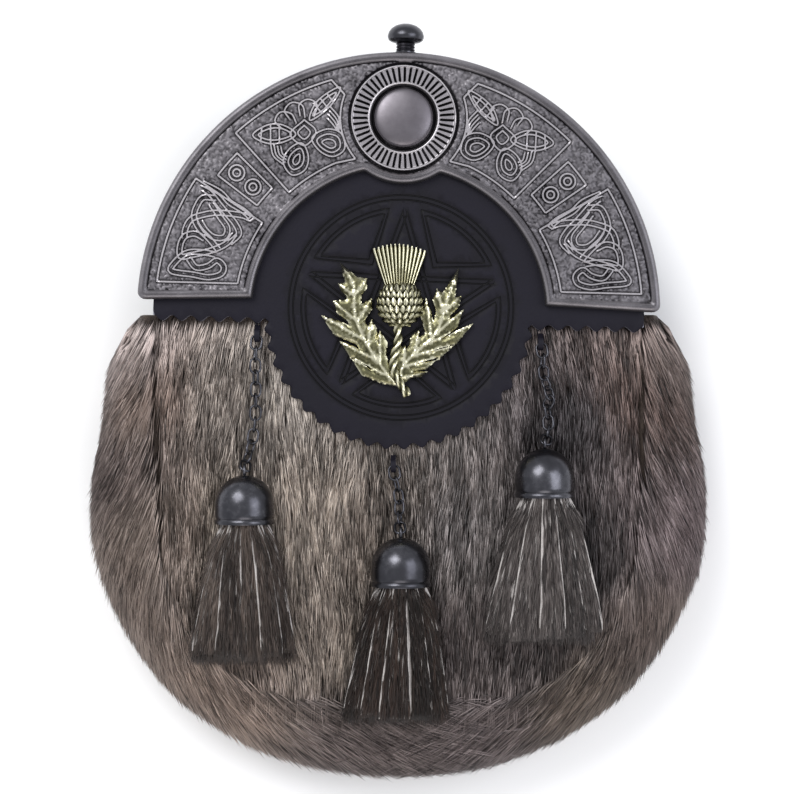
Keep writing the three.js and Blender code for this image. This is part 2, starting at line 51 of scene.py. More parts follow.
CAMERA_AT = (-0.5, -26.6, 738)
FRAME_WIDTH = 254.5  # what the camera takes in at the height of the apron
SENSOR = 36
APRON_TOP = 38

bpy.context.scene.view_settings.view_transform = "Standard"  # plain colours, so the white table stays white

camera = bpy.data.objects.new("camera", bpy.data.cameras.new("camera"))
camera.location = Vector(CAMERA_AT) * MM
camera.data.sensor_width = SENSOR
camera.data.lens = SENSOR * (CAMERA_AT[2] - APRON_TOP) / FRAME_WIDTH
bpy.context.scene.collection.objects.link(camera)
bpy.context.scene.camera = camera


def linear(code, alpha=1.0):
    """An sRGB hex colour as linear RGBA."""
    parts = [int(code[i:i + 2], 16) / 255 for i in (1, 3, 5)]
    return tuple(c / 12.92 if c <= 0.04045 else ((c + 0.055) / 1.055) ** 2.4 for c in parts) + (alpha,)


def add(tree, kind, inputs=None, **settings):
    """Adds a node: settings are its own properties, inputs give each socket a value or an output."""
    made = tree.nodes.new(kind)
    for key, value in settings.items():
        setattr(made, key, value)
    for socket, value in (inputs or {}).items():
        if isinstance(value, bpy.types.NodeSocket):
            tree.links.new(value, made.inputs[socket])
        else:
            made.inputs[socket].default_value = value
    return made


def new_material(name):
    """An empty material with its output node, and its tree."""
    material = bpy.data.materials.new(name)
    material.use_nodes = True
    material.node_tree.nodes.clear()
    return material, material.node_tree


def lamp(name, at, look_at, size, power, colour):
    light = bpy.data.lights.new(name, "AREA")
    light.shape = "SQUARE"
    light.size = size
    light.energy = power
    light.color = linear(colour)[:3]
    holder = bpy.data.objects.new(name, light)
    holder.location = at
    holder.rotation_euler = (Vector(look_at) - Vector(at)).to_track_quat("-Z", "Y").to_euler()
    bpy.context.scene.collection.objects.link(holder)


lamp("key_softbox", (-0.42, 0.5, 0.8), (0, -0.03, 0), 0.55, 6.4, "#ffffff")
lamp("fill_softbox", (0.62, 0.1, 0.75), (0, -0.03, 0), 0.6, 3.2, "#f6f8ff")
lamp("foot_softbox", (0.0, -0.75, 0.7), (0, -0.03, 0), 0.6, 2.2, "#fff8f2")

world = bpy.data.worlds.new("pale_room")
world.use_nodes = True
world.node_tree.nodes.clear()
room = add(world.node_tree, "ShaderNodeBackground", {"Color": linear("#f4f6fa"), "Strength": 0.72})
add(world.node_tree, "ShaderNodeOutputWorld", {"Surface": room.outputs["Background"]})
bpy.context.scene.world = world

# Matt white laminate table top: it gives the eye an even pale ground with a soft contact shadow.
white_table, tree = new_material("white_laminate_table")
top = add(tree, "ShaderNodeBsdfPrincipled", {"Base Color": linear("#fbfbfb"), "Roughness": 0.75})
add(tree, "ShaderNodeOutputMaterial", {"Surface": top.outputs["BSDF"]})

FLOOR_Z = -2.3
TABLE_HALF = 3.0
table_mesh = bpy.data.meshes.new("table_top")
table_mesh.from_pydata([(x * TABLE_HALF, y * TABLE_HALF, (FLOOR_Z - 0.1) * MM)
                        for x, y in ((-1, -1), (1, -1), (1, 1), (-1, 1))], [], [(0, 1, 2, 3)])
table_mesh.materials.append(white_table)
table_top = bpy.data.objects.new("table_top", table_mesh)
bpy.context.scene.collection.objects.link(table_top)


# ---- Back panel, gusset and belt loops ------------------------------------------------------------------
# Black calf leather, cut flat. The back panel has the slot that the hand goes in by, the gusset is the
# wall behind the cantle, and two loops on the back take the sporran strap. All are saddle-stitched.
def smooth_line(points, count):
    """count places on a centripetal Catmull-Rom curve through the points, spread evenly over its spans."""
    p = np.array(points, float)
    p = np.vstack([2 * p[0] - p[1], p, 2 * p[-1] - p[-2]])
    places = []
    for t in np.linspace(0, len(points) - 1, count):
        i = min(int(t), len(points) - 2)
        w = t - i
        a, b, c, d = p[i:i + 4]
        before, span, after = (max(np.linalg.norm(q - r), 1e-9) ** 0.5 for q, r in ((b, a), (c, b), (d, c)))
        leave = ((b - a) / before - (c - a) / (before + span) + (c - b) / span) * span
        reach = ((c - b) / span - (d - b) / (span + after) + (d - c) / after) * span
        places.append(b + leave * w + (3 * (c - b) - 2 * leave - reach) * w ** 2
                      + (2 * (b - c) + leave + reach) * w ** 3)
    return np.array(places)


def mirrored(half, count):
    """A left and right symmetrical curve, from the right end round the foot to the left end."""
    return smooth_line(list(half) + [(-x, y) for x, y in half[-2::-1]], count)


def arc(centre, radius, start, end, step=0.6):
    """Places on a circle, from one angle to another in degrees."""
    count = max(3, int(abs(math.radians(end - start)) * radius / step) + 1)
    turn = np.radians(np.linspace(start, end, count))
    return np.stack([centre[0] + radius * np.cos(turn), centre[1] + radius * np.sin(turn)], 1)


def resample(line, step):
    """The same line with even spacing of about step."""
    line = np.array(line, float)
    along = np.concatenate([[0], np.cumsum(np.linalg.norm(np.diff(line, axis=0), axis=1))])
    marks = np.linspace(0, along[-1], max(2, int(round(along[-1] / step)) + 1))
    return np.stack([np.interp(marks, along, line[:, k]) for k in range(line.shape[1])], 1)


def beside(line, distance):
    """A line moved sideways, to its left for a positive distance."""
    way = np.gradient(line, axis=0)
    way /= np.maximum(np.linalg.norm(way, axis=1, keepdims=True), 1e-9)
    return line + np.stack([-way[:, 1], way[:, 0]], 1) * distance


def inside(points, loops):
    """True for each point that lies inside the loops, a loop within another being a hole."""
    odd = np.zeros(len(points), bool)
    for loop in loops:
        a, b = np.array(loop), np.roll(loop, -1, axis=0)
        for (ax, ay), (bx, by) in zip(a, b):
            cross = (ay > points[:, 1]) != (by > points[:, 1])
            if ay != by:
                odd ^= cross & (points[:, 0] < (bx - ax) * (points[:, 1] - ay) / (by - ay) + ax)
    return odd


def distance_to(points, lines):
    """How far each point is from the nearest of the lines."""
    nearest = np.full(len(points), 1e9)
    for line in lines:
        line = np.array(line)
        for a, b in zip(line[:-1], line[1:]):
            lo, hi = np.minimum(a, b) - 3, np.maximum(a, b) + 3
            near = np.nonzero(np.all((points > lo) & (points < hi), axis=1))[0]
            if len(near) == 0:
                continue
            q = points[near] - a
            share = np.clip(q @ (b - a) / max((b - a) @ (b - a), 1e-12), 0, 1)
            gap = np.linalg.norm(q - share[:, None] * (b - a), axis=1)
            nearest[near] = np.minimum(nearest[near], gap)
    return nearest


def make_piece(name, points, faces, material, smooth_angle=40):
    """A mesh object from points in millimetres."""
    mesh = bpy.data.meshes.new(name)
    mesh.from_pydata((np.array(points) * MM).tolist(), [], [tuple(f) for f in faces])
    mesh.materials.append(material)
    mesh.shade_smooth()
    if smooth_angle < 180:
        mesh.set_sharp_from_angle(angle=math.radians(smooth_angle))
    made = bpy.data.objects.new(name, mesh)
    bpy.context.scene.collection.objects.link(made)
    return made


def relief_sheet(loops, lines, extra, height_at, low_at, turn=0.0):
    """Points and faces of a closed sheet: its upper side is height_at, its under side is low_at.

    loops are its outline and any holes, lines the creases that its triangles have to follow,
    and extra the loose points between them.
    """
    points, edges = [], []
    for loop in loops:
        start = len(points)
        points += list(loop)
        edges += [(start + i, start + (i + 1) % len(loop)) for i in range(len(loop))]
    for line in lines:
        start = len(points)
        points += list(line)
        edges += [(start + i, start + i + 1) for i in range(len(line) - 1)]
    points += list(extra)
    flat, _, cells, *_ = delaunay_2d_cdt([Vector(p) for p in points], edges, [], 0, 1e-4, False)
    flat, cells = np.array(flat), np.array([c for c in cells if len(c) == 3])
    cells = cells[inside(flat[cells].mean(axis=1), loops)]
    used, cells = np.unique(cells, return_inverse=True)
    flat, cells = flat[used], cells.reshape(-1, 3)
    a, b, c = flat[cells[:, 0]], flat[cells[:, 1]], flat[cells[:, 2]]
    turned = (b[:, 0] - a[:, 0]) * (c[:, 1] - a[:, 1]) < (b[:, 1] - a[:, 1]) * (c[:, 0] - a[:, 0])
    cells[turned] = cells[turned][:, ::-1]
    count = len(flat)
    half = np.concatenate([cells[:, [0, 1]], cells[:, [1, 2]], cells[:, [2, 0]]])
    keys = set(map(tuple, half.tolist()))
    rim = [(i, j) for i, j in keys if (j, i) not in keys]
    walls = [(i, i + count, j + count, j) for i, j in rim]
    upper = np.column_stack([flat, height_at(flat)])
    under = np.column_stack([flat, low_at(flat)])
    under[:, 2] = np.minimum(under[:, 2], upper[:, 2] - 0.05)
    faces = cells.tolist() + (cells[:, ::-1] + count).tolist() + walls
    everything = np.vstack([upper, under])
    cos, sin = math.cos(turn), math.sin(turn)
    x, y = everything[:, 0].copy(), everything[:, 1].copy()
    everything[:, 0], everything[:, 1] = x * cos - y * sin, x * sin + y * cos
    return everything, faces


def hex_points(lo, hi, step, rng, jitter=0.35):
    """Loose points on a staggered grid, each a little out of place."""
    rows = np.arange(lo[1], hi[1], step * 0.87)
    grid = np.array([(x + (k % 2) * step / 2, y) for k, y in enumerate(rows)
                     for x in np.arange(lo[0], hi[0], step)])
    return grid + rng.uniform(-jitter, jitter, grid.shape) * step


def object_noise(tree, size, detail, **more):
    """Noise in object coordinates, with lumps about size millimetres wide."""
    place = add(tree, "ShaderNodeTexCoord")
    inputs = {"Vector": place.outputs["Object"], "Scale": 1 / (size * MM), "Detail": detail, **more}
    return add(tree, "ShaderNodeTexNoise", inputs).outputs["Fac"]


def bumped(tree, height, strength, deep, under=None):
    """A bump that is deep millimetres high, over the one before it."""
    inputs = {"Height": height, "Strength": strength, "Distance": deep * MM}
    if under:
        inputs["Normal"] = under
    return add(tree, "ShaderNodeBump", inputs).outputs["Normal"]


def mixed(tree, share, first, second):
    """One colour turned into another. A colour mix has its share, first and second at 0, 6 and 7."""
    return add(tree, "ShaderNodeMix", {0: share, 6: first, 7: second}, data_type="RGBA").outputs[2]


def surfaced(tree, inputs):
    """The material's one shader, and its output."""
    skin = add(tree, "ShaderNodeBsdfPrincipled", inputs)
    add(tree, "ShaderNodeOutputMaterial", {"Surface": skin.outputs["BSDF"]})


def fibrous(name, size, detail, dark, light, roughness, lumps=None):
    """A matt, finely mottled material, such as thread, wool or raw hide. lumps: its bump's two values."""
    material, tree = new_material(name)
    mottle = object_noise(tree, size, detail)
    tone = add(tree, "ShaderNodeValToRGB", {"Fac": mottle})
    for stop, code in zip(tone.color_ramp.elements, (dark, light)):
        stop.color = linear(code)
    inputs = {"Base Color": tone.outputs["Color"], "Roughness": roughness}
    if lumps:
        inputs["Normal"] = bumped(tree, mottle, *lumps)
    surfaced(tree, inputs)
    return material


# Calf leather, drum-dyed black and lightly glazed. The eye gets a blue-black skin with a fine pebble
# (pores 0.9 mm apart), broad soft sheen patches 14 mm across, and painted shade, dull black, in the grooves.
calf_leather, tree = new_material("black_glazed_calf_leather")
place_node = add(tree, "ShaderNodeTexCoord")
pores = add(tree, "ShaderNodeTexVoronoi", {"Vector": place_node.outputs["Object"], "Scale": 1 / (0.9 * MM)},
            feature="SMOOTH_F1")
patches = object_noise(tree, 14, 2.0)
# painted shade: the attribute "pressed" turns the leather near black in the pressed grooves
groove_shade_in = add(tree, "ShaderNodeAttribute", attribute_name="pressed")
skin_tone = mixed(tree, patches, linear("#0c0a14"), linear("#15131f"))
shine = add(tree, "ShaderNodeMapRange", {"Value": patches, "To Min": 0.5, "To Max": 0.66})
grain = bumped(tree, pores.outputs["Distance"], 0.35, 0.12)
surfaced(tree, {
    "Base Color": mixed(tree, groove_shade_in.outputs["Fac"], skin_tone, linear("#020103")),
    "Roughness": shine.outputs["Result"], "Specular IOR Level": 0.2,
    "Normal": bumped(tree, object_noise(tree, 2.6, 6.0, Roughness=0.6), 0.3, 0.25, grain)})

SEAM_HALF = [(77, 0), (76.2, -15), (75.6, -40), (75, -62), (72.4, -82),
             (65.6, -98.5), (53.6, -111), (36, -118.6), (16, -121.6), (0, -122)]
PANEL_RADIUS = 76.6
PANEL_MIDDLE = np.array([0, -20])
GUSSET = {"radius": (77, 79), "low": 0, "high": 32}
MOUTH = {"width": 72, "height": 14, "y": 37}
STITCH = {"length": 2.6, "width": 0.7, "pitch": 3.4}


def panel_outline(inset, step=1.2):
    """The panels' outline: half a circle above, the seam's own curve below."""
    upper = arc((0, 0), PANEL_RADIUS - inset, 0, 180, step)
    lower = mirrored(SEAM_HALF, 140)[::-1][1:-1]
    lower = PANEL_MIDDLE + (lower - PANEL_MIDDLE) * (1 - (0.4 + inset) / SEAM_HALF[0][0])
    return resample(np.vstack([upper, lower, upper[:1]]), step)[:-1]


def box_outline(centre, width, height, corner, step=1.0):
    """A rectangle with rounded corners."""
    parts = []
    for sx, sy, start in ((1, -1, -90), (1, 1, 0), (-1, 1, 90), (-1, -1, 180)):
        middle = (centre[0] + sx * (width / 2 - corner), centre[1] + sy * (height / 2 - corner))
        parts.append(arc(middle, corner, start, start + 90, 0.5))
    return resample(np.vstack(parts + [parts[0][:1]]), step)[:-1]


def closed(loop):
    return np.vstack([loop, loop[:1]])


# Waxed linen thread: each stitch is a short fat grain of thread, laid end to end by the same tree that
# lays the hair, the chain links and the scales of the thistle.
linen_thread = fibrous("waxed_black_linen_thread", 0.4, 3.0, "#141317", "#3c3a40", 0.5)


def laying_tree():
    """Geometry Nodes that put a copy of one shape on every point, turned and sized by its attributes."""
    tree = bpy.data.node_groups.new("lay_copies", "GeometryNodeTree")
    for label, kind in (("Places", "NodeSocketGeometry"), ("Shape", "NodeSocketObject"),
                        ("Finish", "NodeSocketMaterial")):
        tree.interface.new_socket(label, in_out="INPUT", socket_type=kind)
    tree.interface.new_socket("Laid", in_out="OUTPUT", socket_type="NodeSocketGeometry")
    given = add(tree, "NodeGroupInput")
    shape = add(tree, "GeometryNodeObjectInfo", {"Object": given.outputs["Shape"]})
    turn = add(tree, "GeometryNodeInputNamedAttribute", {"Name": "turn"}, data_type="FLOAT_VECTOR")
    size = add(tree, "GeometryNodeInputNamedAttribute", {"Name": "size"}, data_type="FLOAT_VECTOR")
    copies = add(tree, "GeometryNodeInstanceOnPoints", {
        "Points": given.outputs["Places"], "Instance": shape.outputs["Geometry"],
        "Rotation": turn.outputs["Attribute"], "Scale": size.outputs["Attribute"]})
    real = add(tree, "GeometryNodeRealizeInstances", {"Geometry": copies.outputs["Instances"]})
    painted = add(tree, "GeometryNodeSetMaterial", {"Geometry": real.outputs["Geometry"],
                                                    "Material": given.outputs["Finish"]})
    add(tree, "NodeGroupOutput", {"Laid": painted.outputs["Geometry"]})
    return tree


lay_copies = laying_tree()


def set_values(mesh, label, values, kind="FLOAT", field="value"):
    """Gives the mesh's points an attribute."""
    mesh.attributes.new(label, kind, "POINT").data.foreach_set(
        field, np.ascontiguousarray(values, np.float32).ravel())


def unit(vectors):
    return vectors / np.maximum(np.linalg.norm(vectors, axis=-1, keepdims=True), 1e-9)


def lay(name, shape, places, along, up, sizes, finish, colours=None):
    """A mesh object with one copy of shape at each place: its X runs along, its Z towards up."""
    along = unit(np.array(along, float))
    side = unit(np.cross(up, along))
    up = np.cross(along, side)
    turns = np.stack([np.arctan2(side[:, 2], up[:, 2]), np.arcsin(np.clip(-along[:, 2], -1, 1)),
                      np.arctan2(along[:, 1], along[:, 0])], 1)
    mesh = bpy.data.meshes.new(name)
    mesh.from_pydata((np.array(places) * MM).tolist(), [], [])
    for label, values in (("turn", turns), ("size", np.array(sizes) * MM)):
        set_values(mesh, label, values, "FLOAT_VECTOR", "vector")
    for label, values in (colours or {}).items():
        set_values(mesh, label, values, "FLOAT_COLOR", "color")
    holder = bpy.data.objects.new(name, mesh)
    bpy.context.scene.collection.objects.link(holder)
    laying = holder.modifiers.new("lay_copies", "NODES")
    laying.node_group = lay_copies
    sockets = {s.name: s.identifier for s in lay_copies.interface.items_tree if s.in_out == "INPUT"}
    laying[sockets["Shape"]] = shape
    laying[sockets["Finish"]] = finish
    bpy.context.view_layer.update()
    evaluated = holder.evaluated_get(bpy.context.evaluated_depsgraph_get())
    laid = bpy.data.meshes.new_from_object(evaluated)
    holder.modifiers.clear()
    holder.data = laid
    for label in ("turn", "size"):
        if label in laid.attributes:
            laid.attributes.remove(laid.attributes[label])
    return holder


def stock(name, points, faces):
    """A shape of unit size that is only copied, and doesn't stay in the scene."""
    mesh = bpy.data.meshes.new(name)
    mesh.from_pydata([tuple(p) for p in points], [], [tuple(f) for f in faces])
    mesh.shade_smooth()
    made = bpy.data.objects.new(name, mesh)
    bpy.context.scene.collection.objects.link(made)
    return made


def grain_shape(sides=6):
    """A grain with rounded ends: one stitch."""
    points, faces = [(-0.5, 0, 0)], []
    for x, r in ((-0.36, 0.38), (0, 0.5), (0.36, 0.38)):
        points += [(x, r * math.cos(2 * math.pi * k / sides), r * math.sin(2 * math.pi * k / sides))
                   for k in range(sides)]
    points.append((0.5, 0, 0))
    last = len(points) - 1
    for k in range(sides):
        n = (k + 1) % sides
        faces += [(0, 1 + n, 1 + k), (last, last - sides + k, last - sides + n)]
        faces += [(1 + s * sides + k, 1 + s * sides + n, 1 + (s + 1) * sides + n, 1 + (s + 1) * sides + k)
                  for s in range(2)]
    return points, faces


stitch_shape = stock("stitch_shape", *grain_shape())


def stitch_row(name, line, z, facing):
    """A row of stitches along a flat line, at height z, on the side that facing points to."""
    marks = resample(line, STITCH["pitch"])
    way = np.gradient(marks, axis=0)
    count = len(marks)
    return lay(name, stitch_shape, np.column_stack([marks, np.full(count, z)]),
               np.column_stack([way, np.zeros(count)]), np.tile([0, 0, facing], (count, 1)),
               np.tile([STITCH["length"], STITCH["width"], STITCH["width"]], (count, 1)), linen_thread)


def join(main, *others):
    """Adds the other objects' meshes to main, which keeps its name."""
    with bpy.context.temp_override(active_object=main, object=main, selected_objects=[main, *others],
                                   selected_editable_objects=[main, *others]):
        bpy.ops.object.join()
    return main


def rounded_sheet(name, loops, low, high, round_by, material, lines=(), groove=0.0, back=False):
    """A flat leather piece with softened edges and a pressed groove along each of the lines."""
    rng = np.random.default_rng(3)
    creases = [beside(closed(loop), share * round_by) for loop in loops for share in (0.45, 1.0)]
    for line in lines:
        creases += [beside(resample(line, 1.5), g) for g in (-0.5, 0, 0.5)]
    lo, hi = np.min(loops[0], axis=0), np.max(loops[0], axis=0)
    extra = hex_points(lo, hi, 4, rng)
    extra = extra[inside(extra, loops)]
    edges = [closed(loop) for loop in loops]

    def surface(flat):
        edge = np.clip(distance_to(flat, edges) / round_by, 0, 1)
        fall = round_by * (1 - np.sqrt(np.clip(1 - (1 - edge) ** 2, 0, 1)))
        sunk = groove * np.clip(1 - distance_to(flat, lines) / 0.5, 0, 1) if len(lines) else 0
        return fall + sunk

    def upper(flat):
        return high - (surface(flat) if not back else surface(flat) * 0.3)

    def lower(flat):
        return low + (surface(flat) if back else surface(flat) * 0.3)

    points, faces = relief_sheet(loops, creases, extra, upper, lower)
    return make_piece(name, points, faces, material)


mouth_outline = box_outline((0, MOUTH["y"]), MOUTH["width"], MOUTH["height"], 3)[::-1]
back_seam = panel_outline(4.2)
mouth_seam = box_outline((0, MOUTH["y"]), MOUTH["width"] + 8, MOUTH["height"] + 8, 5)
back_panel = rounded_sheet("back_panel_leather", [panel_outline(0), mouth_outline], 0, 2, 0.7, calf_leather,
                           [closed(back_seam), closed(mouth_seam)], 0.25, back=True)
join(back_panel, stitch_row("back_seam", closed(back_seam), 0.12, -1),
     stitch_row("mouth_seam", closed(mouth_seam), 0.12, -1))
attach(back_panel, "root")
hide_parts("back_panel")

for side, sign in (("left", -1), ("right", 1)):
    outline = box_outline((sign * 48, 30), 14, 36, 2.2)
    cross = [[(sign * 48 - 5, y), (sign * 48 + 5, y)] for y in (15, 45)]
    loop = rounded_sheet("belt_loop_strap_" + side, [outline], -2.3, -0.3, 0.6, calf_leather,
                         cross, 0.2, back=True)
    join(loop, *[stitch_row("loop_seam", line, -2.15, -1) for line in cross])
    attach(loop, "root")
    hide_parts("belt_loop_" + side)


# Top gusset: a strip of the same leather on edge, with a piped rib at its middle.
def tube_faces(rows, sides):
    """Faces of a tube of rows rings with sides points each, and its two flat ends."""
    at = lambda i, k: i * sides + k % sides
    faces = [(at(i, k), at(i, k + 1), at(i + 1, k + 1), at(i + 1, k))
             for i in range(rows - 1) for k in range(sides)]
    return faces + [tuple(range(sides))[::-1], tuple((rows - 1) * sides + k for k in range(sides))]


def swept_arc(name, section, start, end, step, material):
    """A closed section of (radius, z) pairs swept round the origin, with flat ends."""
    turns = np.radians(np.arange(start, end + step / 2, step))
    points = [(r * math.cos(t), r * math.sin(t), z) for t in turns for r, z in section]
    return make_piece(name, points, tube_faces(len(turns), len(section)), material)


inner_r, outer_r = GUSSET["radius"]
gusset_section = [(inner_r, 0.5), (inner_r + 0.4, 0), (outer_r - 0.5, 0), (outer_r, 0.6), (outer_r, 13),
                  (outer_r + 0.5, 14), (outer_r + 0.8, 15.5), (outer_r + 0.5, 17), (outer_r, 18),
                  (outer_r, 31.4), (outer_r - 0.5, 32), (inner_r + 0.4, 32), (inner_r, 31.5)][::-1]
gusset = swept_arc("top_gusset_leather", gusset_section, 0.4, 179.6, 1.2, calf_leather)
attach(gusset, "root")
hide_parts("top_gusset")


# ---- Fur ---------------------------------------------------------------------------------------------------
# Dressed pelt: a dense soft underfur with long glossy guard hairs laid over it, all combed down
# towards the foot. A wide strip of it makes the band round the sides, a panel of it makes the front.
FUR_TONES = [  # x, y, then the dark, middle and pale hairs that grow about there
    (-40, -20, "#4e443f", "#847c77", "#aaa29a"), (-60, -20, "#4c433e", "#7c726b", "#a09790"),
    (-75, -20, "#33261f", "#62534c", "#8a7b73"), (-72, -62, "#382c27", "#62574f", "#857972"),
    (-28, -60, "#544840", "#8c8078", "#b0a69c"), (-52, -60, "#4e433b", "#80756c", "#a69c91"),
    (-10, -66, "#211916", "#5a4f48", "#8d837b"), (24, -66, "#262221", "#5c5655", "#908a89"),
    (58, -30, "#1a1617", "#393435", "#5f5a5c"), (58, -70, "#1a1617", "#343030", "#585354"),
    (76, -20, "#211611", "#473c39", "#74645f"), (-20, -100, "#41362f", "#6a605a", "#938980"),
    (14, -100, "#1a1413", "#3f3837", "#655d5c"), (40, -100, "#1a1413", "#3b3434", "#5f5857"),
    (-90, -40, "#291f1d", "#4a403d", "#877b77"), (-84, -8, "#3a2d29", "#675b57", "#a89c98"),
    (-88, -84, "#251c1a", "#4d423f", "#8c8079"), (-62, -118, "#2e2320", "#5b4f4a", "#93847b"),
    (-20, -134, "#2f2523", "#544a48", "#857a77"), (30, -134, "#241a1a", "#483f3e", "#827877"),
    (66, -116, "#1f1514", "#3c3332", "#70665e"), (92, -60, "#251a19", "#4a3d3b", "#85797a"),
    (86, -10, "#2a1e1c", "#4e423f", "#857873"), (88, -92, "#1f1514", "#3f3534", "#766b66"),
]
# Hairs shade one another, so the middle and pale ones are dyed lighter than they look.
DEPTH_GAIN = (0.4, 1.12, 2.2)
TONE_PLACES = np.array([row[:2] for row in FUR_TONES], float)
TONE_TABLE = np.array([[linear(code)[:3] for code in row[2:]] for row in FUR_TONES])


def tones_at(flat, sharp=4):
    """The dark, middle and pale hair colours at each place, blended from the charted ones."""
    gap = np.linalg.norm(flat[:, None] - TONE_PLACES[None], axis=2)
    weight = 1 / (gap + 4) ** sharp
    return np.einsum("ij,jkc->ikc", weight / weight.sum(1, keepdims=True), TONE_TABLE)


def patchy(flat, cell, seed, channels):
    """Random values from -1 to 1 that neighbours within a cell share."""
    table = np.random.default_rng(seed).uniform(-1, 1, (97, 89, channels))
    ij = np.floor(flat / cell).astype(int)
    return table[ij[:, 0] % 97, ij[:, 1] % 89]


def drift(flat, size, seed, channels):
    """Random values from -1 to 1 that change smoothly over the size given."""
    table = np.random.default_rng(seed).uniform(-1, 1, (97, 89, channels))
    q = flat / size
    i = np.floor(q).astype(int)
    w = q - i
    w = w * w * (3 - 2 * w)
    pick = lambda a, b: table[(i[:, 0] + a) % 97, (i[:, 1] + b) % 89]
    low = pick(0, 0) * (1 - w[:, :1]) + pick(1, 0) * w[:, :1]
    high = pick(0, 1) * (1 - w[:, :1]) + pick(1, 1) * w[:, :1]
    return low * (1 - w[:, 1:]) + high * w[:, 1:]


# Guard hair, dressed: darker at the root as painted shade, its own colour in the middle, bleached at the tip.
guard_hair, tree = new_material("dressed_guard_hair")
share_node, root_shade_node, tip_node = (add(tree, "ShaderNodeAttribute", attribute_name=label).outputs
                                   for label in ("hair_share", "root_shade_tone", "tip_tone"))
surfaced(tree, {"Base Color": mixed(tree, share_node["Fac"], root_shade_node["Color"], tip_node["Color"]),
                "Roughness": 0.48, "Specular IOR Level": 0.4, "IOR": 1.55})

# Underfur: the short dense wool beneath. The eye gets only a dark soft ground between the hairs.
underfur = fibrous("dense_underfur", 1.2, 5.0, "#1b1412", "#544840", 0.9, lumps=(0.8, 0.6))


def hair_shape():
    """One hair of unit length: a three-sided spindle that rises from its root and lies down to its tip."""
    points = [(0, 0, 0), (0.42, -0.5, 0.7), (0.42, 0.5, 0.7), (0.42, 0, 0.88), (1, 0, 1)]
    faces = [(0, 2, 1), (0, 3, 2), (0, 1, 3), (4, 1, 2), (4, 2, 3), (4, 3, 1)]
    made = stock("hair_shape", points, faces)
    set_values(made.data, "hair_share", [0, 0.5, 0.5, 0.6, 1])
    return made


one_hair = hair_shape()


def scatter(grid, count, rng):
    """Random places on a grid, even by area: place, along, across and outward, and shares of the grid."""
    along = grid[1:, :-1] - grid[:-1, :-1]
    across = grid[:-1, 1:] - grid[:-1, :-1]
    out = np.cross(along, across)
    weight = np.linalg.norm(out, axis=2)
    pick = rng.choice(weight.size, count, p=(weight / weight.sum()).ravel())
    i, j = np.unravel_index(pick, weight.shape)
    a, b = rng.random((2, count, 1))
    place = ((grid[i, j] * (1 - a) + grid[i + 1, j] * a) * (1 - b)
             + (grid[i, j + 1] * (1 - a) + grid[i + 1, j + 1] * a) * b)
    shares = ((i + a[:, 0]) / weight.shape[0], (j + b[:, 0]) / weight.shape[1])
    return place, unit(along[i, j]), unit(across[i, j]), unit(out[i, j]), shares


WISP, TASSEL_WISP = np.array([0.62, 9]), np.array([0.8, 14])  # width and length of a few hairs that cling


def toned(shade, dark, middle, pale):
    """The colour at each shade, from dark at 0 through middle to pale at 1."""
    return np.where(shade < 0.5, dark + (middle - dark) * shade * 2,
                    middle + (pale - middle) * (shade * 2 - 1))


def lay_hairs(name, place, way, up, length, width, lift, root, tip):
    """Copies of the one hair, with a colour for each root, which carries painted shade, and for each tip."""
    opaque = lambda colour: np.column_stack([np.clip(colour, 0, 1), np.ones(len(place))])
    return lay(name, one_hair, place, way, up, np.column_stack([length, width, lift]), guard_hair,
               {"root_shade_tone": opaque(root), "tip_tone": opaque(tip)})


def comb(name, place, way, up, length, width, lift, rng, tip_bleach=0.5, contrast=0.5, clump=2.3):
    """Lays hairs from place along way. Hairs of one lock share a little of their slant and tone."""
    count = len(place)
    flat = place[:, :2]
    wave = drift(flat, 17, 12, 3)
    side = unit(np.cross(up, way))
    run = np.stack([(place * side).sum(1), (place * way).sum(1)], 1)
    lock = patchy(run + rng.normal(0, 0.22, run.shape), np.array([clump, clump * 5]), 11, 3)
    wisp = patchy(run + rng.normal(0, 0.1, run.shape), WISP, 13, 1)[:, 0]
    slant = 0.10 * lock[:, :1] + 0.16 * wave[:, :1] + rng.normal(0, 0.075, (count, 1))
    way = unit(way + side * slant)
    dark, middle, pale = np.moveaxis(tones_at(flat), 1, 0) * np.array(DEPTH_GAIN)[:, None, None]
    shade = 0.5 + contrast * (0.5 * lock[:, 1] + 0.75 * wisp + 0.3 * wave[:, 1]) + rng.normal(0, 0.1, count)
    shade = np.clip(shade, 0, 1)[:, None]
    body = toned(shade, dark, middle, pale)
    # painted shade: each hair is darker at its root, where the hairs above cover it
    root = body * 0.5 + dark * 0.25
    bleach = np.clip(tip_bleach * rng.random((count, 1)) * 1.6, 0, 1)
    tip = body + (pale * 1.12 - body) * bleach
    return lay_hairs(name, place, way, up, length, width, lift, root, tip)


# Band: the hide is sewn to the seam, rolls over the front edge and comes back to the table.
FUR_HALF = [(86.2, 0), (91.4, -11), (96, -31), (99.4, -50), (100, -66), (97.8, -80),
            (90.4, -99), (77.4, -118.4), (58.4, -134.4), (33.6, -145.4), (0, -149.8)]
HIDE_SECTION = [(0.0, 1.0), (0.04, 15), (0.03, 27), (0.06, 31.4), (0.2, 33), (0.46, 31.4), (0.72, 26.4),
                (0.87, 19.5), (0.91, 13), (0.87, 6), (0.76, 0.4), (0.55, -2.0), (0.2, -2.1)]
FRONT_EDGE, TABLE_EDGE = 3, 10  # the part of the section that hair grows on
HEAD_TURN = math.radians(-1.5)
AROUND = 180
seam_line, fur_line = mirrored(SEAM_HALF, AROUND + 1), mirrored(FUR_HALF, AROUND + 1)
section = smooth_line(HIDE_SECTION, 37)
span = (len(section) - 1) // (len(HIDE_SECTION) - 1)
hide_grid = np.array([[np.append(a + (b - a) * out, z) for out, z in section]
                      for a, b in zip(seam_line, fur_line)])
hide_grid[:, :, 2] -= np.clip((hide_grid[:, :, 1] + 6) / 6, 0, 1) * np.clip(hide_grid[:, :, 2] - 29.5, 0, 9)
ring = len(section)
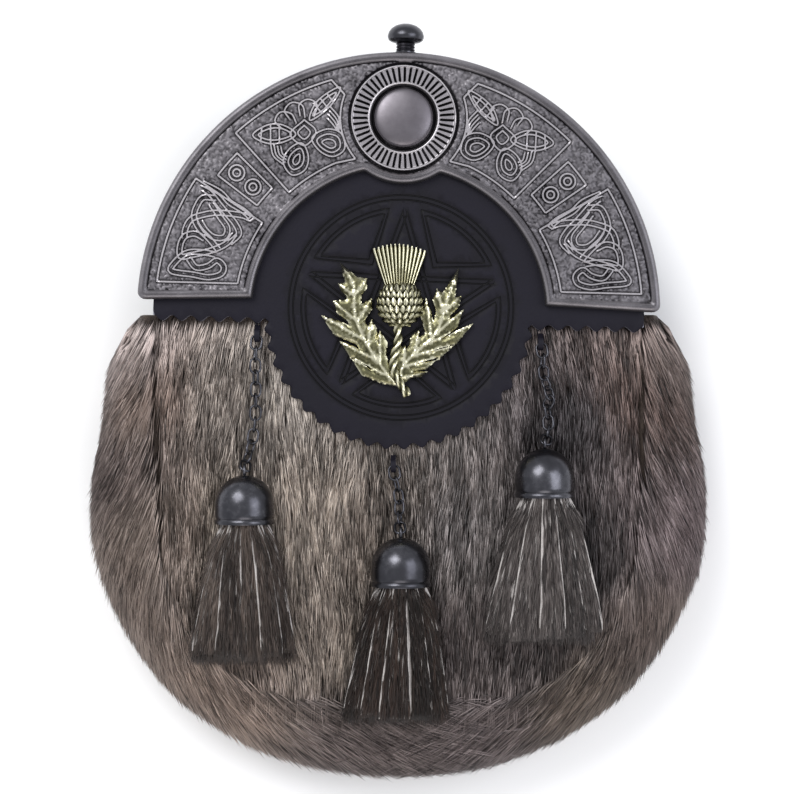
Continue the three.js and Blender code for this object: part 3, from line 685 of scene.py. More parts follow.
hide_faces = [(i * ring + k, (i + 1) * ring + k, (i + 1) * ring + (k + 1) % ring, i * ring + (k + 1) % ring)
              for i in range(AROUND) for k in range(ring)]
hide_faces += [tuple(range(ring)), tuple(AROUND * ring + k for k in range(ring))[::-1]]
fur_band = make_piece("fur_band_hide", hide_grid.reshape(-1, 3), hide_faces, underfur, 180)

grown = hide_grid[:, FRONT_EDGE * span:TABLE_EDGE * span + 1]
PARTING_X = 10  # the hair from the two sides meets a little right of the middle
BAND_PARTS = {"right": (0, 66), "foot": (66, 118), "left": (118, AROUND)}
BAND_HAIRS = 19500  # in each of the three parts
for number, (part, (first, last)) in enumerate(BAND_PARTS.items()):
    rng = np.random.default_rng(20 + number)
    count = BAND_HAIRS
    place, along, across, up, (_, reach) = scatter(grown[first:last + 1], count, rng)
    outward = np.column_stack([place[:, :2] - PANEL_MIDDLE * [0, 2.4], np.zeros(count)])
    outward = unit(outward)
    up = np.where((up * (outward + [0, 0, 0.6])).sum(1, keepdims=True) < 0, -up, up)
    downhill = np.where(place[:, 0] - PARTING_X + rng.normal(0, 7, count) > 0, 1, -1)[:, None]
    along = along * downhill
    rim = np.clip((reach - 0.35) / 0.3, 0, 1)[:, None]
    over = unit(across * (1 - rim) + (outward * 0.85 + across * 0.25) * rim)
    below = np.clip((reach - 0.72) / 0.28, 0, 1)[:, None]
    way = unit(along * (0.94 - 0.22 * rim) + over * (0.30 + 0.22 * rim) + np.array([0, -0.22, 0]) * rim)
    way = unit(way - up * (way * up).sum(1, keepdims=True) * 0.8)
    length = rng.uniform(11, 18, count) * (1 - 0.15 * below[:, 0])
    lift = rng.uniform(1.2, 3.4, count) * (1 - 0.4 * rim[:, 0])
    tip_z = place[:, 2] + way[:, 2] * length + up[:, 2] * lift
    length = np.where(tip_z < FLOOR_Z + 0.2, length * np.clip((place[:, 2] - FLOOR_Z - 0.2)
                      / np.maximum(place[:, 2] - tip_z, 0.1), 0.25, 1), length)
    under_wing = place[:, 1] > -6
    lift = np.where(under_wing & (place[:, 2] > 24), 0.6, lift)
    hair = comb("band_hair_" + part, place, way, up, length, rng.uniform(0.3, 0.48, count), lift, rng,
                tip_bleach=0.5, contrast=0.85)
    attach(hair, "root")
    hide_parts("fur_band")
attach(fur_band, "root")
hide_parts("fur_band")


# ---- Front panel --------------------------------------------------------------------------------------
# A second piece of pelt, shorter in the hair and greyer, sewn inside the band and combed straight down.
APRON = {"lobe": 42.6, "wing": 79, "wing_y": -3, "tooth": 6.15, "tooth_depth": 0.9, "low": 33.6, "high": 35.4}
FRONT_LOW, FRONT_EDGE_Z, FRONT_CROWN_Z = 30.3, 32.5, 33.3
RINGS = [1, 0.985, 0.95, 0.88, 0.78, 0.66, 0.54, 0.42, 0.3, 0.18, 0.06]
outline = panel_outline(0.2, 2.0)
front_points = [np.column_stack([outline, np.full(len(outline), FRONT_LOW)])]
for share in RINGS:
    z = FRONT_EDGE_Z + (FRONT_CROWN_Z - FRONT_EDGE_Z) * math.sin((1 - share) * math.pi / 2)
    z = FRONT_LOW + 1.2 if share == 1 else z
    front_points.append(np.column_stack([PANEL_MIDDLE + (outline - PANEL_MIDDLE) * share,
                                         np.full(len(outline), z)]))
front_base = make_piece("front_panel_hide", np.vstack(front_points),
                        tube_faces(len(front_points), len(outline)), underfur)

rng = np.random.default_rng(5)
FRONT_HAIRS = 30000
spread = rng.uniform([-79, -124], [79, 6], (FRONT_HAIRS * 3, 2))
keep = inside(spread, [panel_outline(-1.5, 3)])
toward = np.hypot(spread[:, 0], spread[:, 1])
keep &= (toward > APRON["lobe"] - 7) | (spread[:, 1] < -APRON["lobe"])
keep &= (spread[:, 1] < 0.5)
flat = spread[keep][:FRONT_HAIRS]
count = len(flat)
reach = np.hypot(flat[:, 0], flat[:, 1])
covered = np.clip((APRON["lobe"] + 3 - reach) / 6, 0, 1) + np.clip((flat[:, 1] + 9) / 6, 0, 1)
covered = np.clip(covered, 0, 1)
fan = np.zeros(count)
fan += -0.16 * np.exp(-((flat[:, 0] + 62) / 16) ** 2) * np.clip((flat[:, 1] + 60) / 50, 0, 1)
fan += 0.10 * np.exp(-((flat[:, 0] - 58) / 18) ** 2) * np.clip((flat[:, 1] + 60) / 50, 0, 1)
fan += -flat[:, 0] / 420 * np.clip((-70 - flat[:, 1]) / 40, 0, 1)
place = np.column_stack([flat, np.full(count, 33.0) - 0.25 * covered])
way = np.column_stack([fan, -np.ones(count), np.zeros(count)])
up = np.tile([0.0, 0.0, 1.0], (count, 1))
length = rng.uniform(9, 15, count)
lift = rng.uniform(0.9, 2.7, count) * (1 - 0.6 * covered)
front_hair = comb("front_hair", place, way, up, length, rng.uniform(0.3, 0.46, count), lift, rng,
                  tip_bleach=0.35, contrast=0.78, clump=2.0)
for piece in (front_base, front_hair):
    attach(piece, "root")
    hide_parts("fur_front")


# ---- Apron ------------------------------------------------------------------------------------------------
# One piece of glazed black leather over the top of the pelt, its edge pinked with a toothed punch. A ring
# and a five-pointed star are pressed into it with a heated tool; the grooves get a painted shade of near black.
def pinked_loop():
    """The apron's outline, anticlockwise from its right wing."""
    lobe, wing, wing_y = APRON["lobe"], APRON["wing"], APRON["wing_y"]
    drop = math.asin(-wing_y / lobe)
    wing_start = lobe * math.cos(drop)

    def toothed(length, at):
        teeth = round(length / APRON["tooth"])
        rows = []
        for i in range(1, teeth * 12):
            point, out = at(i / (teeth * 12))
            swing = -APRON["tooth_depth"] * math.cos(2 * math.pi * i / 12)
            rows.append(np.array(point) + np.array(out) * swing)
        return rows

    end_y = wing_y + APRON["tooth_depth"]
    corner = math.asin(end_y / wing)
    end = wing * math.cos(corner)
    top = arc((0, 0), wing, math.degrees(corner), 180 - math.degrees(corner), 1.5)
    left = toothed(end - wing_start, lambda t: ((-end + (end - wing_start) * t, wing_y), (0, -1)))

    def round_lobe(t):
        turn = math.pi + drop + (math.pi - 2 * drop) * t
        out = (math.cos(turn), math.sin(turn))
        return (out[0] * lobe, out[1] * lobe), out

    middle = toothed(math.pi * lobe, round_lobe)
    right = toothed(end - wing_start, lambda t: ((wing_start + (end - wing_start) * t, wing_y), (0, -1)))
    return np.vstack([top, left, middle, right])


STAR = {"centre": (0.7, 2.2), "ring": 36.2, "ring_inner": 34.7, "point": 30.6, "gap": 1.5, "turn": 89}
GROOVE = {"half": 0.3, "depth": 0.4}


def on_circle(centre, radius, degrees):
    turn = math.radians(degrees)
    return np.array([centre[0] + radius * math.cos(turn), centre[1] + radius * math.sin(turn)])


def star_lines():
    """The two circles, the interlaced star and the five panels between its arms."""
    lines = [closed(arc(STAR["centre"], STAR[key], 0, 359, 1.0)) for key in ("ring", "ring_inner")]
    tips = [on_circle(STAR["centre"], STAR["point"], STAR["turn"] + 72 * k) for k in range(5)]
    for k in range(5):
        a, b = tips[k], tips[(k + 2) % 5]
        line = resample([a, b], 1.2)
        lines += [beside(line, STAR["gap"] / 2), beside(line, -STAR["gap"] / 2)]
    for k in range(5):  # a segment of a ring beside each arm, with the arms' own slant for its ends
        middle = STAR["turn"] + 36 + 72 * k
        for radius, narrow in ((STAR["ring_inner"] - 2.6, 0), (STAR["ring_inner"] - 4.0, 1.4)):
            half = 27 - narrow * 2.2
            outer = arc(STAR["centre"], radius, middle - half, middle + half, 1.2)
            corner = 16.4 + narrow * 1.5
            tip = [on_circle(STAR["centre"], corner, middle)]
            lines.append(resample(np.vstack([tip, outer, tip]), 1.2))
    return lines


apron_loop = pinked_loop()
pressed_lines = star_lines()
creases = [beside(line, g * GROOVE["half"]) for line in pressed_lines for g in (-1, -0.4, 0.4, 1)]
creases.append(beside(closed(apron_loop), 0.45))
rng = np.random.default_rng(8)
apron_extra = hex_points((-79, -45), (79, 50), 2.2, rng)
apron_extra = apron_extra[inside(apron_extra, [apron_loop])]
apron_extra = apron_extra[distance_to(apron_extra, pressed_lines + [closed(apron_loop)]) > 1.0]


def apron_height(flat):
    edge = np.clip(distance_to(flat, [closed(apron_loop)]) / 0.5, 0, 1)
    gap = distance_to(flat, pressed_lines)
    sunk = GROOVE["depth"] * np.clip(1.25 - gap / GROOVE["half"], 0, 1)
    return APRON["high"] - 0.28 * (1 - edge) ** 2 - sunk + 0.05 * drift(flat, 9, 4, 1)[:, 0]


points, faces = relief_sheet([apron_loop], creases, apron_extra, apron_height,
                             lambda flat: np.full(len(flat), APRON["low"]), HEAD_TURN)
apron = make_piece("apron_leather", points, faces, calf_leather, 50)
half = len(points) // 2
cos, sin = math.cos(-HEAD_TURN), math.sin(-HEAD_TURN)
flat = np.column_stack([points[:half, 0] * cos - points[:half, 1] * sin,
                        points[:half, 0] * sin + points[:half, 1] * cos])
# painted shade: the top goes near black along the pressed grooves, stored in the attribute "pressed"
pressed = np.clip(1.5 - distance_to(flat, pressed_lines) / GROOVE["half"], 0, 1)
set_values(apron.data, "pressed", np.concatenate([pressed, np.zeros(half)]))

# The cut edge shows the blue-grey flesh of the leather as a thin pale line.
raw_edge = fibrous("raw_cut_leather_edge", 0.5, 4.0, "#54535f", "#9c9ca8", 0.85)
apron.data.materials.append(raw_edge)
edge_now = distance_to(flat, [closed(apron_loop)])
for polygon in apron.data.polygons:
    corners = list(polygon.vertices)
    if len(corners) == 4 or all(c < half and edge_now[c] < 0.4 for c in corners):
        polygon.material_index = 1
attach(apron, "root")
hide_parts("apron")


# ---- Cantle -------------------------------------------------------------------------------------------
# Cast pewter with an antique finish: blackened all over, then buffed so that only the ridges are bright.
# Knotwork panels stand on a stippled ground inside a raised rim; a slotted rosette holds the boss.
def antique_metal(name, dark, middle, bright, rough, pit_mm, grain_strength=0.35):
    """Cast metal, blackened and buffed: "wear" runs from 0 in the black hollows to 1 on the bright ridges."""
    material, tree = new_material(name)
    wear = add(tree, "ShaderNodeAttribute", attribute_name="wear")
    pits, blotch = object_noise(tree, pit_mm, 5.0, Roughness=0.65), object_noise(tree, 11, 3.0)
    mottled = add(tree, "ShaderNodeMath", {0: pits, 1: 0.3, 2: -0.2}, operation="MULTIPLY_ADD")
    blotched = add(tree, "ShaderNodeMath", {0: blotch, 1: 0.35, 2: mottled.outputs[0]},
                   operation="MULTIPLY_ADD")
    shifted = add(tree, "ShaderNodeMath", {0: wear.outputs["Fac"], 1: blotched.outputs[0]}, operation="ADD")
    levelled = add(tree, "ShaderNodeMath", {0: shifted.outputs[0], 1: 0.1}, operation="SUBTRACT")
    tone = add(tree, "ShaderNodeValToRGB", {"Fac": levelled.outputs[0]})
    ramp = tone.color_ramp
    ramp.elements[0].position, ramp.elements[0].color = 0.05, linear(dark)
    ramp.elements[1].position, ramp.elements[1].color = 0.95, linear(bright)
    ramp.elements.new(0.45).color = linear(middle)
    dull = add(tree, "ShaderNodeMapRange",
               {"Value": levelled.outputs[0], "To Min": rough + 0.22, "To Max": rough})
    surfaced(tree, {"Base Color": tone.outputs["Color"], "Roughness": dull.outputs["Result"], "Metallic": 1.0,
                    "Normal": bumped(tree, pits, grain_strength, 0.1)})
    return material


antique_pewter = antique_metal("antique_cast_pewter", "#131214", "#767377", "#b8b4b7", 0.34, 0.45)

CANTLE = {"outer": 84, "inner": 47.2, "foot": 2.7, "boss_y": 62.9, "bulge": 21.1, "corner": 2.4,
          "plate": 38.0, "rim": 39.1, "under": 35.7, "skirt": 24, "skirt_thick": 1.7}


def cantle_loop(inset, step=0.8):
    """The cantle's outline drawn in by inset, anticlockwise from its right foot."""
    outer, inner = CANTLE["outer"] - inset, CANTLE["inner"] + inset
    foot, bulge = CANTLE["foot"] + inset, CANTLE["bulge"] - inset
    corner = max(CANTLE["corner"] - inset * 0.6, 0.5)
    rise = math.degrees(math.asin((foot + corner) / outer))
    inner_rise = math.degrees(math.asin((foot + corner / 2) / inner))
    cusp_y = (inner ** 2 + CANTLE["boss_y"] ** 2 - bulge ** 2) / (2 * CANTLE["boss_y"])
    cusp = math.degrees(math.acos(cusp_y / inner))
    swell = math.degrees(math.asin(min(1, inner * math.sin(math.radians(cusp)) / bulge)))
    foot_corner = lambda sign: arc((sign * (outer - corner * 1.05), foot + corner), corner,
                                   *((270, 350) if sign > 0 else (190, 270)), 0.4)
    rows = [arc((0, 0), outer, rise, 180 - rise, step), foot_corner(-1),
            arc((0, 0), inner, 180 - inner_rise, 90 + cusp, step),
            arc((0, CANTLE["boss_y"]), bulge, 270 - swell, 270 + swell, step),
            arc((0, 0), inner, 90 - cusp, inner_rise, step), foot_corner(1)]
    loop = np.vstack(rows)
    return resample(np.vstack([loop, loop[:1]]), step)[:-1]


def flip(line):
    return np.array(line) * [-1, 1]


def loop_through(points, step=0.5):
    """A smooth closed line through the points."""
    p = list(points)
    line = smooth_line(p[-2:] + p + p[:2], (len(p) + 3) * 14 + 1)
    start, end = 2 * 14, (len(p) + 2) * 14
    return resample(line[start:end + 1], step)


def strand(points, step=0.5):
    return resample(smooth_line(points, len(points) * 10), step)


def panel_frames():
    """The raised frames of the three panels on the right, the one below ending level above the foot."""
    upper = np.vstack([arc((0, 0), 78, 90 - 17.5, 90 - 43.5), arc((0, 0), 52.4, 90 - 43.5, 90 - 24.0),
                       arc((0, CANTLE["boss_y"]), 20.3, -42, 20)])
    small = np.vstack([arc((0, 0), 73, 90 - 46.6, 90 - 54), arc((0, 0), 57.1, 90 - 54, 90 - 46.6)])
    level = 8.4
    top = 90 - 57.7
    lower = np.vstack([arc((0, 0), 78.1, top, math.degrees(math.asin(level / 78.1))),
                       arc((0, 0), 52.5, math.degrees(math.asin(level / 52.5)), top)])
    return [resample(closed(frame_line), 0.5) for frame_line in (upper, small, lower)]


# The knots of the left side; the right side has the same ones turned over. Each is a rope of two ridges.
UPPER_KNOT = [
    loop_through([(-20.5, 72.1), (-24.6, 70.2), (-28.6, 66.4), (-30.1, 61.3), (-26.4, 63.4), (-22.6, 67.4)]),
    loop_through([(-21.8, 70.4), (-25, 68.6), (-28, 65.2), (-29.2, 62.8), (-26, 64.6), (-23.4, 67.6)]),
    loop_through([(-48.2, 56), (-43.6, 59.4), (-38.8, 59.6), (-34.4, 56.7), (-38.6, 54), (-43.6, 53.6)]),
    loop_through([(-46.4, 56.1), (-43, 58.2), (-39, 58.4), (-35.8, 56.6), (-39, 55), (-43.2, 54.7)]),
    loop_through([(-29.2, 55.6), (-24.6, 58.6), (-20, 57.4), (-18.7, 52.4), (-22.2, 49.9), (-26.4, 51.4)]),
    loop_through([(-27.6, 55), (-24.4, 57), (-20.8, 56), (-20.2, 52.8), (-22.6, 51.2), (-26, 52.6)]),
    loop_through([(-26, 54.4), (-24.2, 55.4), (-22, 54.8), (-21.6, 53.2), (-23, 52.5), (-25, 53.4)]),
    loop_through([(-32.4, 53.9), (-36.4, 51.9), (-38.2, 47.6), (-35.2, 43.6), (-31.2, 45.4), (-30.2, 49.6)]),
    loop_through([(-32.8, 52.2), (-35.6, 50.4), (-36.6, 47.6), (-35, 45.4), (-32.4, 46.6), (-31.6, 49.4)]),
    loop_through([(-33.1, 50.4), (-34.6, 49.4), (-35.1, 47.8), (-34.4, 46.9), (-33.3, 47.6), (-32.9, 49)]),
    strand([(-34.4, 60.4), (-36, 63.2), (-39.6, 63.6), (-41.2, 60.8), (-39.2, 58.6)]),
    strand([(-31.6, 62.2), (-32.6, 66), (-36, 66.8), (-38.2, 64.2), (-36.6, 61.6)]),
    strand([(-28.6, 62.6), (-28, 66.6), (-30.8, 68), (-33.6, 66.2), (-33.2, 62.8)]),
    *[strand([(-23.6 - 0.2 * k, 65.8 - 1.3 * k), (-20.9 - 0.5 * k, 62.6 - 0.9 * k),
              (-20.3 - 0.3 * k, 58.8 - 0.2 * k)])
      for k in range(4)],
    *[strand([(-42.4 + 1.1 * k, 53.3 - 0.2 * k), (-41.4 + k, 49.6 + 0.2 * k),
              (-38 + 0.3 * k, 46.8 + 0.9 * k)])
      for k in range(4)],
    strand([(-31.8, 61.4), (-28, 57.8), (-31.4, 53.2), (-36.2, 56.6), (-31.8, 61.4)]),
    strand([(-31.8, 59.6), (-29.8, 57.4), (-31.6, 55.2), (-33.8, 57.2), (-31.8, 59.6)]),
    *[resample([(a, b), (c, d)], 0.5) for a, b, c, d in
      ((-28.9, 66.7, -26.2, 63.6), (-26.9, 68.4, -24.4, 65.4), (-24.8, 70, -22.6, 67.2),
       (-45.4, 58.2, -45.6, 53.9), (-42.6, 59.3, -42.4, 53.7), (-39.8, 59.4, -39.6, 53.9))],
]
LOWER_ROPES = [
    [(-63.8, 40.2), (-58, 37.3), (-55, 34.3), (-50.4, 31.6), (-47.9, 29.2), (-50.6, 30.2), (-58.7, 30.9),
     (-62.4, 30.4), (-67.3, 28.5), (-69, 25.3), (-69.2, 22.8)],
    [(-63.2, 38.4), (-60.9, 36.6), (-58.2, 33.4), (-55.4, 30.2), (-53, 27.4), (-51.8, 24.4), (-54.6, 21.4)],
    [(-59.9, 35.6), (-63.6, 35.6), (-65.5, 32.9), (-66.3, 29.4), (-64.6, 25.8), (-61.2, 22.4), (-58.4, 19.2)],
    [(-60.9, 33.6), (-58, 29.6), (-55.5, 25.8), (-56.4, 23.2), (-59.6, 23), (-62.2, 24.8), (-64.4, 28)],
    [(-62.9, 22.6), (-66, 24), (-69.2, 23), (-70.6, 19.6), (-70.2, 16.6), (-66.6, 17.2), (-62.4, 18.2),
     (-58.4, 19.6), (-55.4, 21.4), (-53.2, 24.2)],
    [(-59.2, 17.5), (-64, 18.2), (-68.5, 17.7), (-72.2, 14.5), (-73.4, 12.2), (-66, 10.9), (-60.9, 10.2),
     (-57, 11.5), (-56.4, 13.6), (-58.6, 15.6), (-61.4, 13.8), (-65.2, 13.2), (-67.7, 16)],
]
LOWER_KNOT = []
for rope in LOWER_ROPES:
    middle_line = strand(rope)
    LOWER_KNOT += [beside(middle_line, 0.8), beside(middle_line, -0.8)]

left_lines = UPPER_KNOT + LOWER_KNOT
frames_right = panel_frames()
small_rings = [arc(on_circle((0, 0), out, 90 - 50.4), radius, 0, 360, 0.4)
               for out in (68.8, 61.9) for radius in (2.5, 1.2)]
fine_ridges = left_lines + [flip(line) for line in left_lines]
wide_ridges = frames_right + [flip(line) for line in frames_right]
wide_ridges += small_rings + [flip(line) for line in small_rings]

# Rosette: 51 radial slots between two beads, with a dark groove outside and inside.
SLOTS, SLOT_FROM, SLOT_TO = 51, 11.9, 15.9
boss_middle = np.array([0, CANTLE["boss_y"]])
ROSETTE_EDGE = 17.8
# Each ring of the rosette: radius, rise and shine. Then the rim: distance in from the edge, rise and shine.
ROSETTE_RINGS = [(11.2, 0.75, 0.85), (16.6, 0.85, 0.85), (9.9, -0.5, 0.0), (17.4, -0.35, 0.02)]
RIM = [(0, -0.5, 0.3), (0.35, 0.35, 0.4), (0.8, 0.85, 0.55), (1.5, 1.0, 0.22), (2.2, 0.95, 0.26),
       (2.6, 0.5, 0.8), (3.0, -0.25, 0.0)]
boss_middle = np.array([0, CANTLE["boss_y"]])
spokes = []
for k in range(SLOTS):
    turn = 2 * math.pi * k / SLOTS
    way = np.array([math.sin(turn), math.cos(turn)])
    spokes.append(resample([boss_middle + way * SLOT_FROM, boss_middle + way * SLOT_TO], 1.3))

edge_loop = cantle_loop(0)
ground_edges = [closed(edge_loop)]
rng = np.random.default_rng(9)
stipple = hex_points((-84, 2), (84, 84), 0.62, rng, 0.4)
stipple = stipple[inside(stipple, [cantle_loop(3.2)])]
from_boss = np.linalg.norm(stipple - boss_middle, axis=1)
stipple = stipple[from_boss > ROSETTE_EDGE]
all_ridges = fine_ridges + wide_ridges
stipple = stipple[distance_to(stipple, all_ridges) > 0.5]
disc = hex_points((-9, 54), (9, 72), 1.4, rng)
disc = disc[np.linalg.norm(disc - boss_middle, axis=1) < 9]


def ridge_edges(line, half):
    """The four creases of a ridge: its two feet and the two sides of its flat top."""
    return [beside(line, side * share * half) for side in (-1, 1) for share in (FLAT_TOP, 1)]


FINE_HALF, WIDE_HALF = 0.4, 0.46
FLAT_TOP = 0.55  # share of a ridge's width that is buffed flat
creases = [edge for line in fine_ridges for edge in ridge_edges(line, FINE_HALF)]
creases += [edge for line in wide_ridges for edge in ridge_edges(line, WIDE_HALF)]
for spoke in spokes:
    creases += [beside(spoke, side * half) for side in (-1, 1) for half in (0.2, 0.42)]
for radius, _, _ in ROSETTE_RINGS:
    creases += ridge_edges(arc(boss_middle, radius, 0, 360, 0.6), 0.35)
creases += [closed(cantle_loop(inward)) for inward, _, _ in RIM[1:]]


def cantle_relief(flat):
    """Height above the plate, and how bright the buffing leaves it, from 0 to 1."""
    count = len(flat)
    grit = np.random.default_rng(10).uniform(-1, 1, count)
    to_boss = np.linalg.norm(flat - boss_middle, axis=1)
    in_boss = to_boss < ROSETTE_EDGE
    rise = np.where(in_boss, 0, 0.11 * grit)
    shine = np.where(in_boss, 0.3, 0.3 + 0.2 * grit)
    fine = np.clip(1 - distance_to(flat, fine_ridges) / FINE_HALF, 0, 1)
    wide = np.clip(1 - distance_to(flat, wide_ridges) / WIDE_HALF, 0, 1)
    ridge = np.clip(np.maximum(fine, wide) / (0.95 - FLAT_TOP), 0, 1)
    rise = np.where(ridge > 0.02, 0.5 * ridge, rise)
    shine = np.where(ridge > 0.02, 0.06 + 0.7 * ridge, shine)
    foot = (ridge <= 0.02) & (distance_to(flat, all_ridges) < 0.62)
    rise, shine = np.where(foot, -0.12, rise), np.where(foot, 0.1, shine)
    slot = in_boss & (to_boss > SLOT_FROM - 0.5) & (to_boss < SLOT_TO + 0.4)
    cut = distance_to(flat, spokes) < 0.3
    rise = np.where(slot, np.where(cut, -0.45, 0.4), rise)
    shine = np.where(slot, np.where(cut, 0.0, 0.55), shine)
    for radius, up, tone in ROSETTE_RINGS:
        near = np.clip(1.25 - np.abs(to_boss - radius) / 0.35, 0, 1)
        rise = np.where(near > 0, up * np.sqrt(near), rise)
        shine = np.where(near > 0, tone, shine)
    inward = distance_to(flat, ground_edges)
    insets, rises, shines = zip(*RIM)
    rim_rise, rim_shine = np.interp(inward, insets, rises), np.interp(inward, insets, shines)
    rim = inward < insets[-1] + 1e-3
    outside_boss = to_boss > ROSETTE_EDGE + 0.4
    rise = np.where(rim & outside_boss, rim_rise, np.where(rim, np.maximum(rise, rim_rise), rise))
    shine = np.where(rim & outside_boss, rim_shine, np.where(rim, np.maximum(shine, rim_shine * 0.9), shine))
    return rise, np.clip(shine, 0, 1)


points, faces = relief_sheet([edge_loop], creases, np.vstack([stipple, disc]),
                             lambda flat: CANTLE["plate"] + cantle_relief(flat)[0],
                             lambda flat: np.full(len(flat), CANTLE["under"]))
half = len(points) // 2
wear = np.concatenate([cantle_relief(points[:half, :2])[1], np.full(half, 0.35)])


def turned_head(points):
    """Points turned with the head: apron, cantle, boss and knob sit a little askew on the bag."""
    cos, sin = math.cos(HEAD_TURN), math.sin(HEAD_TURN)
    made = np.array(points, float)
    made[:, 0], made[:, 1] = made[:, 0] * cos - made[:, 1] * sin, made[:, 0] * sin + made[:, 1] * cos
    return made


def set_wear(piece, values):
    set_values(piece.data, "wear", values)


cantle = make_piece("cantle_casting", turned_head(points), faces, antique_pewter, 60)
set_wear(cantle, wear)

# Its side wall: a plain band turned down round the bag, thicker at its lip.
wall_outer, wall_inner = CANTLE["outer"], CANTLE["outer"] - CANTLE["skirt_thick"]
wall_section = [(wall_inner, 36.2), (wall_outer - 0.25, 37.2), (wall_outer, 36.6), (wall_outer, 27.4),
                (wall_outer + 0.35, 26.6), (wall_outer + 0.35, 24.6), (wall_outer, 24), (wall_inner, 24.2)]
wall_start = math.degrees(math.asin((CANTLE["foot"] + CANTLE["corner"]) / CANTLE["outer"]))
wall = swept_arc("cantle_wall", wall_section, wall_start, 180 - wall_start, 0.8, antique_pewter)
wall.data.transform(Matrix.Rotation(HEAD_TURN, 4, "Z"))
wall_wear = np.tile([0.3, 0.8, 0.7, 0.4, 0.15, 0.75, 0.6, 0.3], len(wall.data.vertices) // len(wall_section))
set_wear(wall, wall_wear)
join(cantle, wall)
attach(cantle, "root")
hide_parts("cantle")


# ---- Boss and knob ----------------------------------------------------------------------------------------
# Boss: a plain polished dome riveted in the rosette. Knob: turned steel with a black nickel plate,
# screwed through the cantle's wall; its fine rings give the fingers a grip.
def ringed_faces(rows, sides):
    """Faces between rings of points, where a row of one point is a pole."""
    faces = []
    for low, high in zip(rows, rows[1:]):
        for k in range(sides):
            n = (k + 1) % sides
            if len(low) == 1:
                faces.append((low[0], high[n], high[k]))
            elif len(high) == 1:
                faces.append((low[k], low[n], high[0]))
            else:
                faces.append((low[k], low[n], high[n], high[k]))
    return faces


def lathe(name, profile, sides, material, axis_from, axis_to, smooth_angle=35):
    """A shape turned about the line from axis_from towards axis_to, from (radius, distance) pairs."""
    start, way = Vector(axis_from), (Vector(axis_to) - Vector(axis_from)).normalized()
    across = way.orthogonal().normalized()
    other = way.cross(across)
    points, rows = [], []
    for r, d in profile:
        centre = start + way * d
        if r < 1e-6:
            rows.append([len(points)])
            points.append(centre)
            continue
        rows.append(list(range(len(points), len(points) + sides)))
        points += [centre + (across * math.cos(2 * math.pi * k / sides)
                             + other * math.sin(2 * math.pi * k / sides)) * r for k in range(sides)]
    return make_piece(name, np.array(points), ringed_faces(rows, sides), material, smooth_angle)


def head_point(x, y, z):
    return Vector(turned_head([[x, y, z]])[0])


boss_dome = [(0, 0), (9.2, 0), (9.35, 0.25), (9.35, 0.7), (9.1, 1.05)]
boss_dome += [(9.1 * math.cos(t), 1.05 + 1.5 * math.sin(t)) for t in np.linspace(0.12, math.pi / 2, 12)[:-1]]
boss_dome += [(0, 2.55)]
boss_low, boss_high = head_point(0, CANTLE["boss_y"], 38.3), head_point(0, CANTLE["boss_y"], 41)
polished_pewter = antique_metal("polished_domed_pewter", "#3a3837", "#656166", "#8f8b90", 0.3, 3.5, 0.05)
boss = lathe("cantle_boss_dome", boss_dome, 72, polished_pewter, boss_low, boss_high)
set_wear(boss, np.full(len(boss.data.vertices), 0.5))
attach(boss, "root")
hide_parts("cantle_boss")

black_nickel = antique_metal("black_nickel_plated_steel", "#17171a", "#4b4b50", "#9c9ca2", 0.16, 2.2, 0.06)
knob = [(0, 80.6), (2, 80.6), (2, 84.35), (3.1, 84.35), (3.3, 84.7), (3.3, 85.2)]
for k in range(3):
    y = 85.4 + k * 0.95
    knob += [(2.8, y), (2.95, y + 0.2), (3.1, y + 0.45), (2.95, y + 0.7), (2.75, y + 0.85)]
knob += [(3.4, 88.2), (4.8, 88.6), (5.55, 89.1), (5.85, 89.9), (5.85, 90.6), (5.55, 91.6), (4.8, 92.7),
         (3.6, 93.6), (2.0, 94.2), (0.9, 94.38), (0, 94.4)]
knob_piece = lathe("finial_knob", knob, 48, black_nickel, head_point(0, 0, 30), head_point(0, 1, 30))
set_wear(knob_piece, np.full(len(knob_piece.data.vertices), 0.4))
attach(knob_piece, "root")
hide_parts("finial")


# ---- Thistle badge --------------------------------------------------------------------------------------
# A cast thistle, gilt and then blackened: leaves with raised ribs, a twisted stem, a scaly bulb and a
# ribbed tuft. It is pinned through the apron; the pins don't show.
antique_gilt = antique_metal("antique_gilt_casting", "#0d0d09", "#6f6d52", "#ece8cb", 0.2, 0.8, 0.25)
BADGE_Z = 35.7
LEAVES = [
    {"rib": [(0, -23.4), (-3.7, -19.2), (-9.8, -10.2), (-13.9, -0.9), (-14.7, 9.7), (-18.8, 16.6)],
     "lobes": [(1, 0.22, (-15.3, -14)), (1, 0.36, (-19, -8.6)), (1, 0.5, (-24.9, -0.3)),
               (1, 0.64, (-21.1, 4.2)), (1, 0.78, (-19.4, 9.9)), (-1, 0.78, (-10.1, 11.4)),
               (-1, 0.62, (-8.5, 5.2)),
               (-1, 0.46, (-8.6, -1.6)), (-1, 0.34, (-6, -5.2))]},
    {"rib": [(0.6, -23.2), (1.1, -17.3), (6.1, -11.8), (12.2, -5.8), (15.5, 4.2), (19.4, 15)],
     "lobes": [(1, 0.28, (2.2, -9.6)), (1, 0.42, (6.7, -4.8)), (1, 0.6, (8.9, 5.4)), (1, 0.78, (12.2, 8.3)),
               (-1, 0.78, (20.2, 5.9)), (-1, 0.64, (21, 1.6)), (-1, 0.52, (24.1, -2.9)),
               (-1, 0.4, (17.9, -9.9)), (-1, 0.27, (12.8, -14)), (-1, 0.15, (9.4, -18.4))]},
]
LEAF_HALF = 3.7


